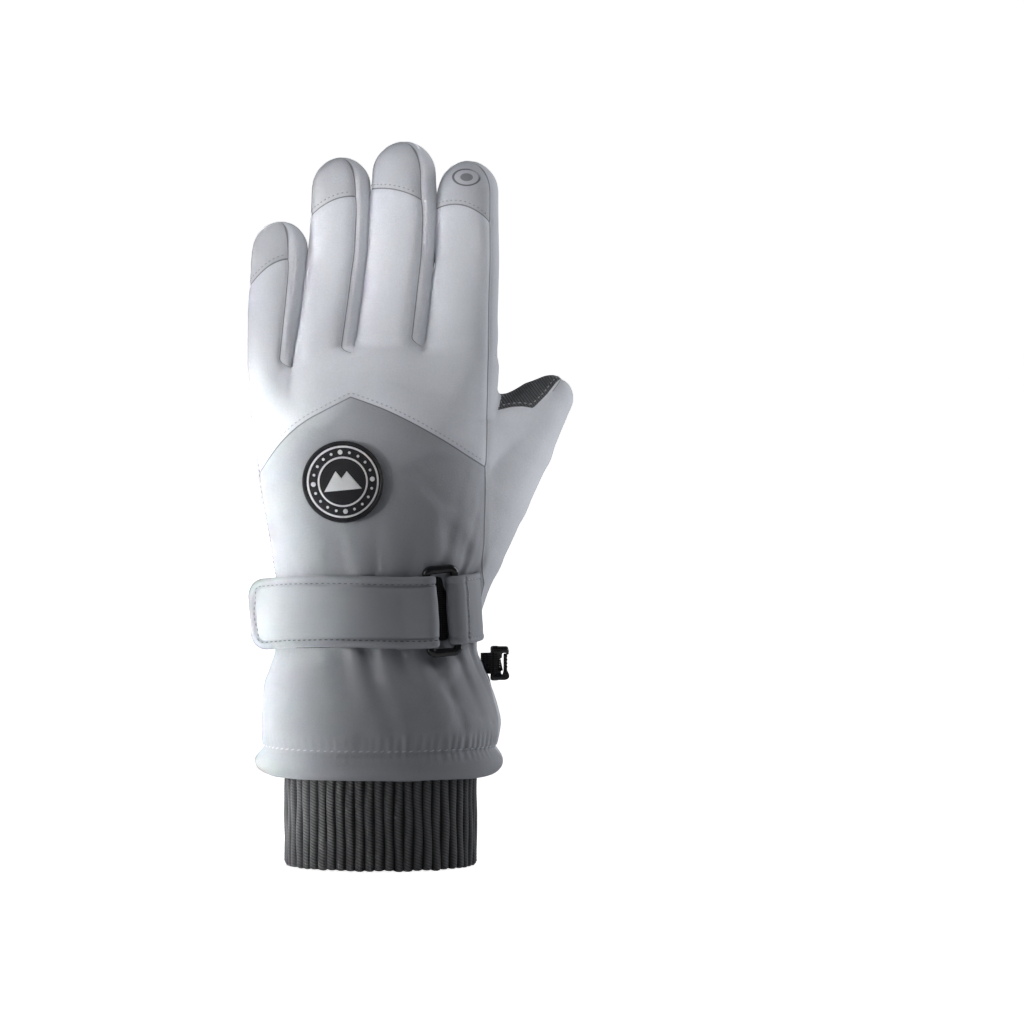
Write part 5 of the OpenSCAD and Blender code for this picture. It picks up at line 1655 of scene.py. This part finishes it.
# ------------------------------------------------------------------ floor, light and camera
def stage_and_camera():
    import bmesh as _b
    me = bpy.data.meshes.new("studio_floor")
    prof = [(-3.0, 0.0), (1.6, 0.0)] + [(1.6 + 0.7 * math.sin(a), 0.7 - 0.7 * math.cos(a)) for a in np.linspace(0.1, math.pi / 2, 12)] + [(2.3, 3.2)]
    vs, fc = [], []
    for i, (py, pz) in enumerate(prof):
        vs += [(-4, py, pz), (4, py, pz)]
        if i:
            fc.append((2 * i - 2, 2 * i - 1, 2 * i + 1, 2 * i))
    me.from_pydata(vs, [], fc); me.shade_smooth()
    ob = bpy.data.objects.new("studio_floor", me); COL.objects.link(ob)
    mt = bpy.data.materials.new("pale_floor"); mt.use_nodes = True
    nt = mt.node_tree; nt.nodes.clear()
    out = nt.nodes.new("ShaderNodeOutputMaterial"); p = nt.nodes.new("ShaderNodeBsdfPrincipled")
    p.inputs["Base Color"].default_value = (0.86, 0.865, 0.875, 1); p.inputs["Roughness"].default_value = 0.9
    em = nt.nodes.new("ShaderNodeEmission"); em.inputs[0].default_value = (1, 1, 1, 1); em.inputs[1].default_value = 0.0
    lp = nt.nodes.new("ShaderNodeLightPath"); mu = nt.nodes.new("ShaderNodeMath"); mu.operation = "MULTIPLY"
    mu.inputs[1].default_value = 0.90
    nt.links.new(lp.outputs["Is Camera Ray"], mu.inputs[0]); nt.links.new(mu.outputs[0], em.inputs[1])
    ad = nt.nodes.new("ShaderNodeAddShader")
    nt.links.new(p.outputs[0], ad.inputs[0]); nt.links.new(em.outputs[0], ad.inputs[1]); nt.links.new(ad.outputs[0], out.inputs[0])
    me.materials.append(mt)
    ob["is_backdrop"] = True
    w = bpy.data.worlds.new("studio"); bpy.context.scene.world = w; w.use_nodes = True
    nt = w.node_tree; nt.nodes.clear()
    o = nt.nodes.new("ShaderNodeOutputWorld"); b1 = nt.nodes.new("ShaderNodeBackground"); b2 = nt.nodes.new("ShaderNodeBackground")
    mx = nt.nodes.new("ShaderNodeMixShader"); lp = nt.nodes.new("ShaderNodeLightPath")
    b1.inputs[0].default_value = (0.93, 0.96, 1, 1); b1.inputs[1].default_value = WORLD
    b2.inputs[0].default_value = (1, 1, 1, 1); b2.inputs[1].default_value = 1.0
    nt.links.new(lp.outputs["Is Camera Ray"], mx.inputs[0]); nt.links.new(b1.outputs[0], mx.inputs[1]); nt.links.new(b2.outputs[0], mx.inputs[2])
    nt.links.new(mx.outputs[0], o.inputs[0])

    def area(name, loc, target, size, power, col=(1, 1, 1), spread=180):
        d = bpy.data.lights.new(name, "AREA"); d.energy = power; d.color = col
        d.shape = "RECTANGLE"; d.size, d.size_y = size
        d.spread = math.radians(spread)
        ob = bpy.data.objects.new(name, d); COL.objects.link(ob)
        ob.location = loc
        ob.visible_camera = False
        ob.rotation_euler = (Vector(target) - Vector(loc)).to_track_quat("-Z", "Y").to_euler()

    c = (0.01, 0, 0.16)
    area("key_left", (-0.52, -0.13, 0.18), (0, 0, 0.16), (0.22, 0.72), 0.7, (1, 0.99, 0.98))
    area("gradient_key", (-1.259, -0.742, 0.095), (-0.069, 0, 0.085), (0.057, 0.23), 0.142, (1, 0.995, 0.985), 4)
    area("finger_spot", (0.45, -1.30, 0.80), (-0.016, 0, 0.268), (0.10, 0.10), 0.021, (1, 1, 1), 7.5)
    area("finger_spot_left", (-1.05, -0.80, 0.70), (-0.016, 0, 0.270), (0.10, 0.10), 0.030, (1, 1, 1), 7.5)
    area("thumb_spot", (0.75, -1.0, 0.25), (0.075, 0, 0.168), (0.07, 0.07), 0.0065, (1, 1, 1), 3.2)
    area("left_soft", (-1.45, -0.50, 0.50), c, (0.7, 1.2), 4.5, (1, 0.99, 0.98))
    area("upper_left", (-0.80, -1.05, 1.15), c, (0.7, 0.6), 1.1, (1, 1, 1))
    area("rim_right", (1.10, 0.20, 0.30), c, (0.35, 1.2), 7.5, (0.97, 0.98, 1))
    area("front_fill", (-0.6, -2.0, 0.5), c, (1.2, 1.0), 0.15)
    area("back_soft", (0.8, 1.4, 0.9), c, (1.2, 1.0), 6.5)
    cam = bpy.data.cameras.new("camera"); D = 2.2
    cam.lens = 36 * D / 0.430; cam.clip_start = 0.05; cam.clip_end = 30
    ob = bpy.data.objects.new("camera", cam); COL.objects.link(ob)
    el = math.radians(3.5)
    t = Vector((0.0550, 0, 0.1487))
    ob.location = t + Vector((0, -math.cos(el), math.sin(el))) * D
    ob.rotation_euler = (t - ob.location).to_track_quat("-Z", "Y").to_euler()
    bpy.context.scene.camera = ob
    bpy.context.scene.view_settings.view_transform = "Standard"


WORLD = 0.04
stage_and_camera()
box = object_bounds()
log("box", CAD_BOX, box)
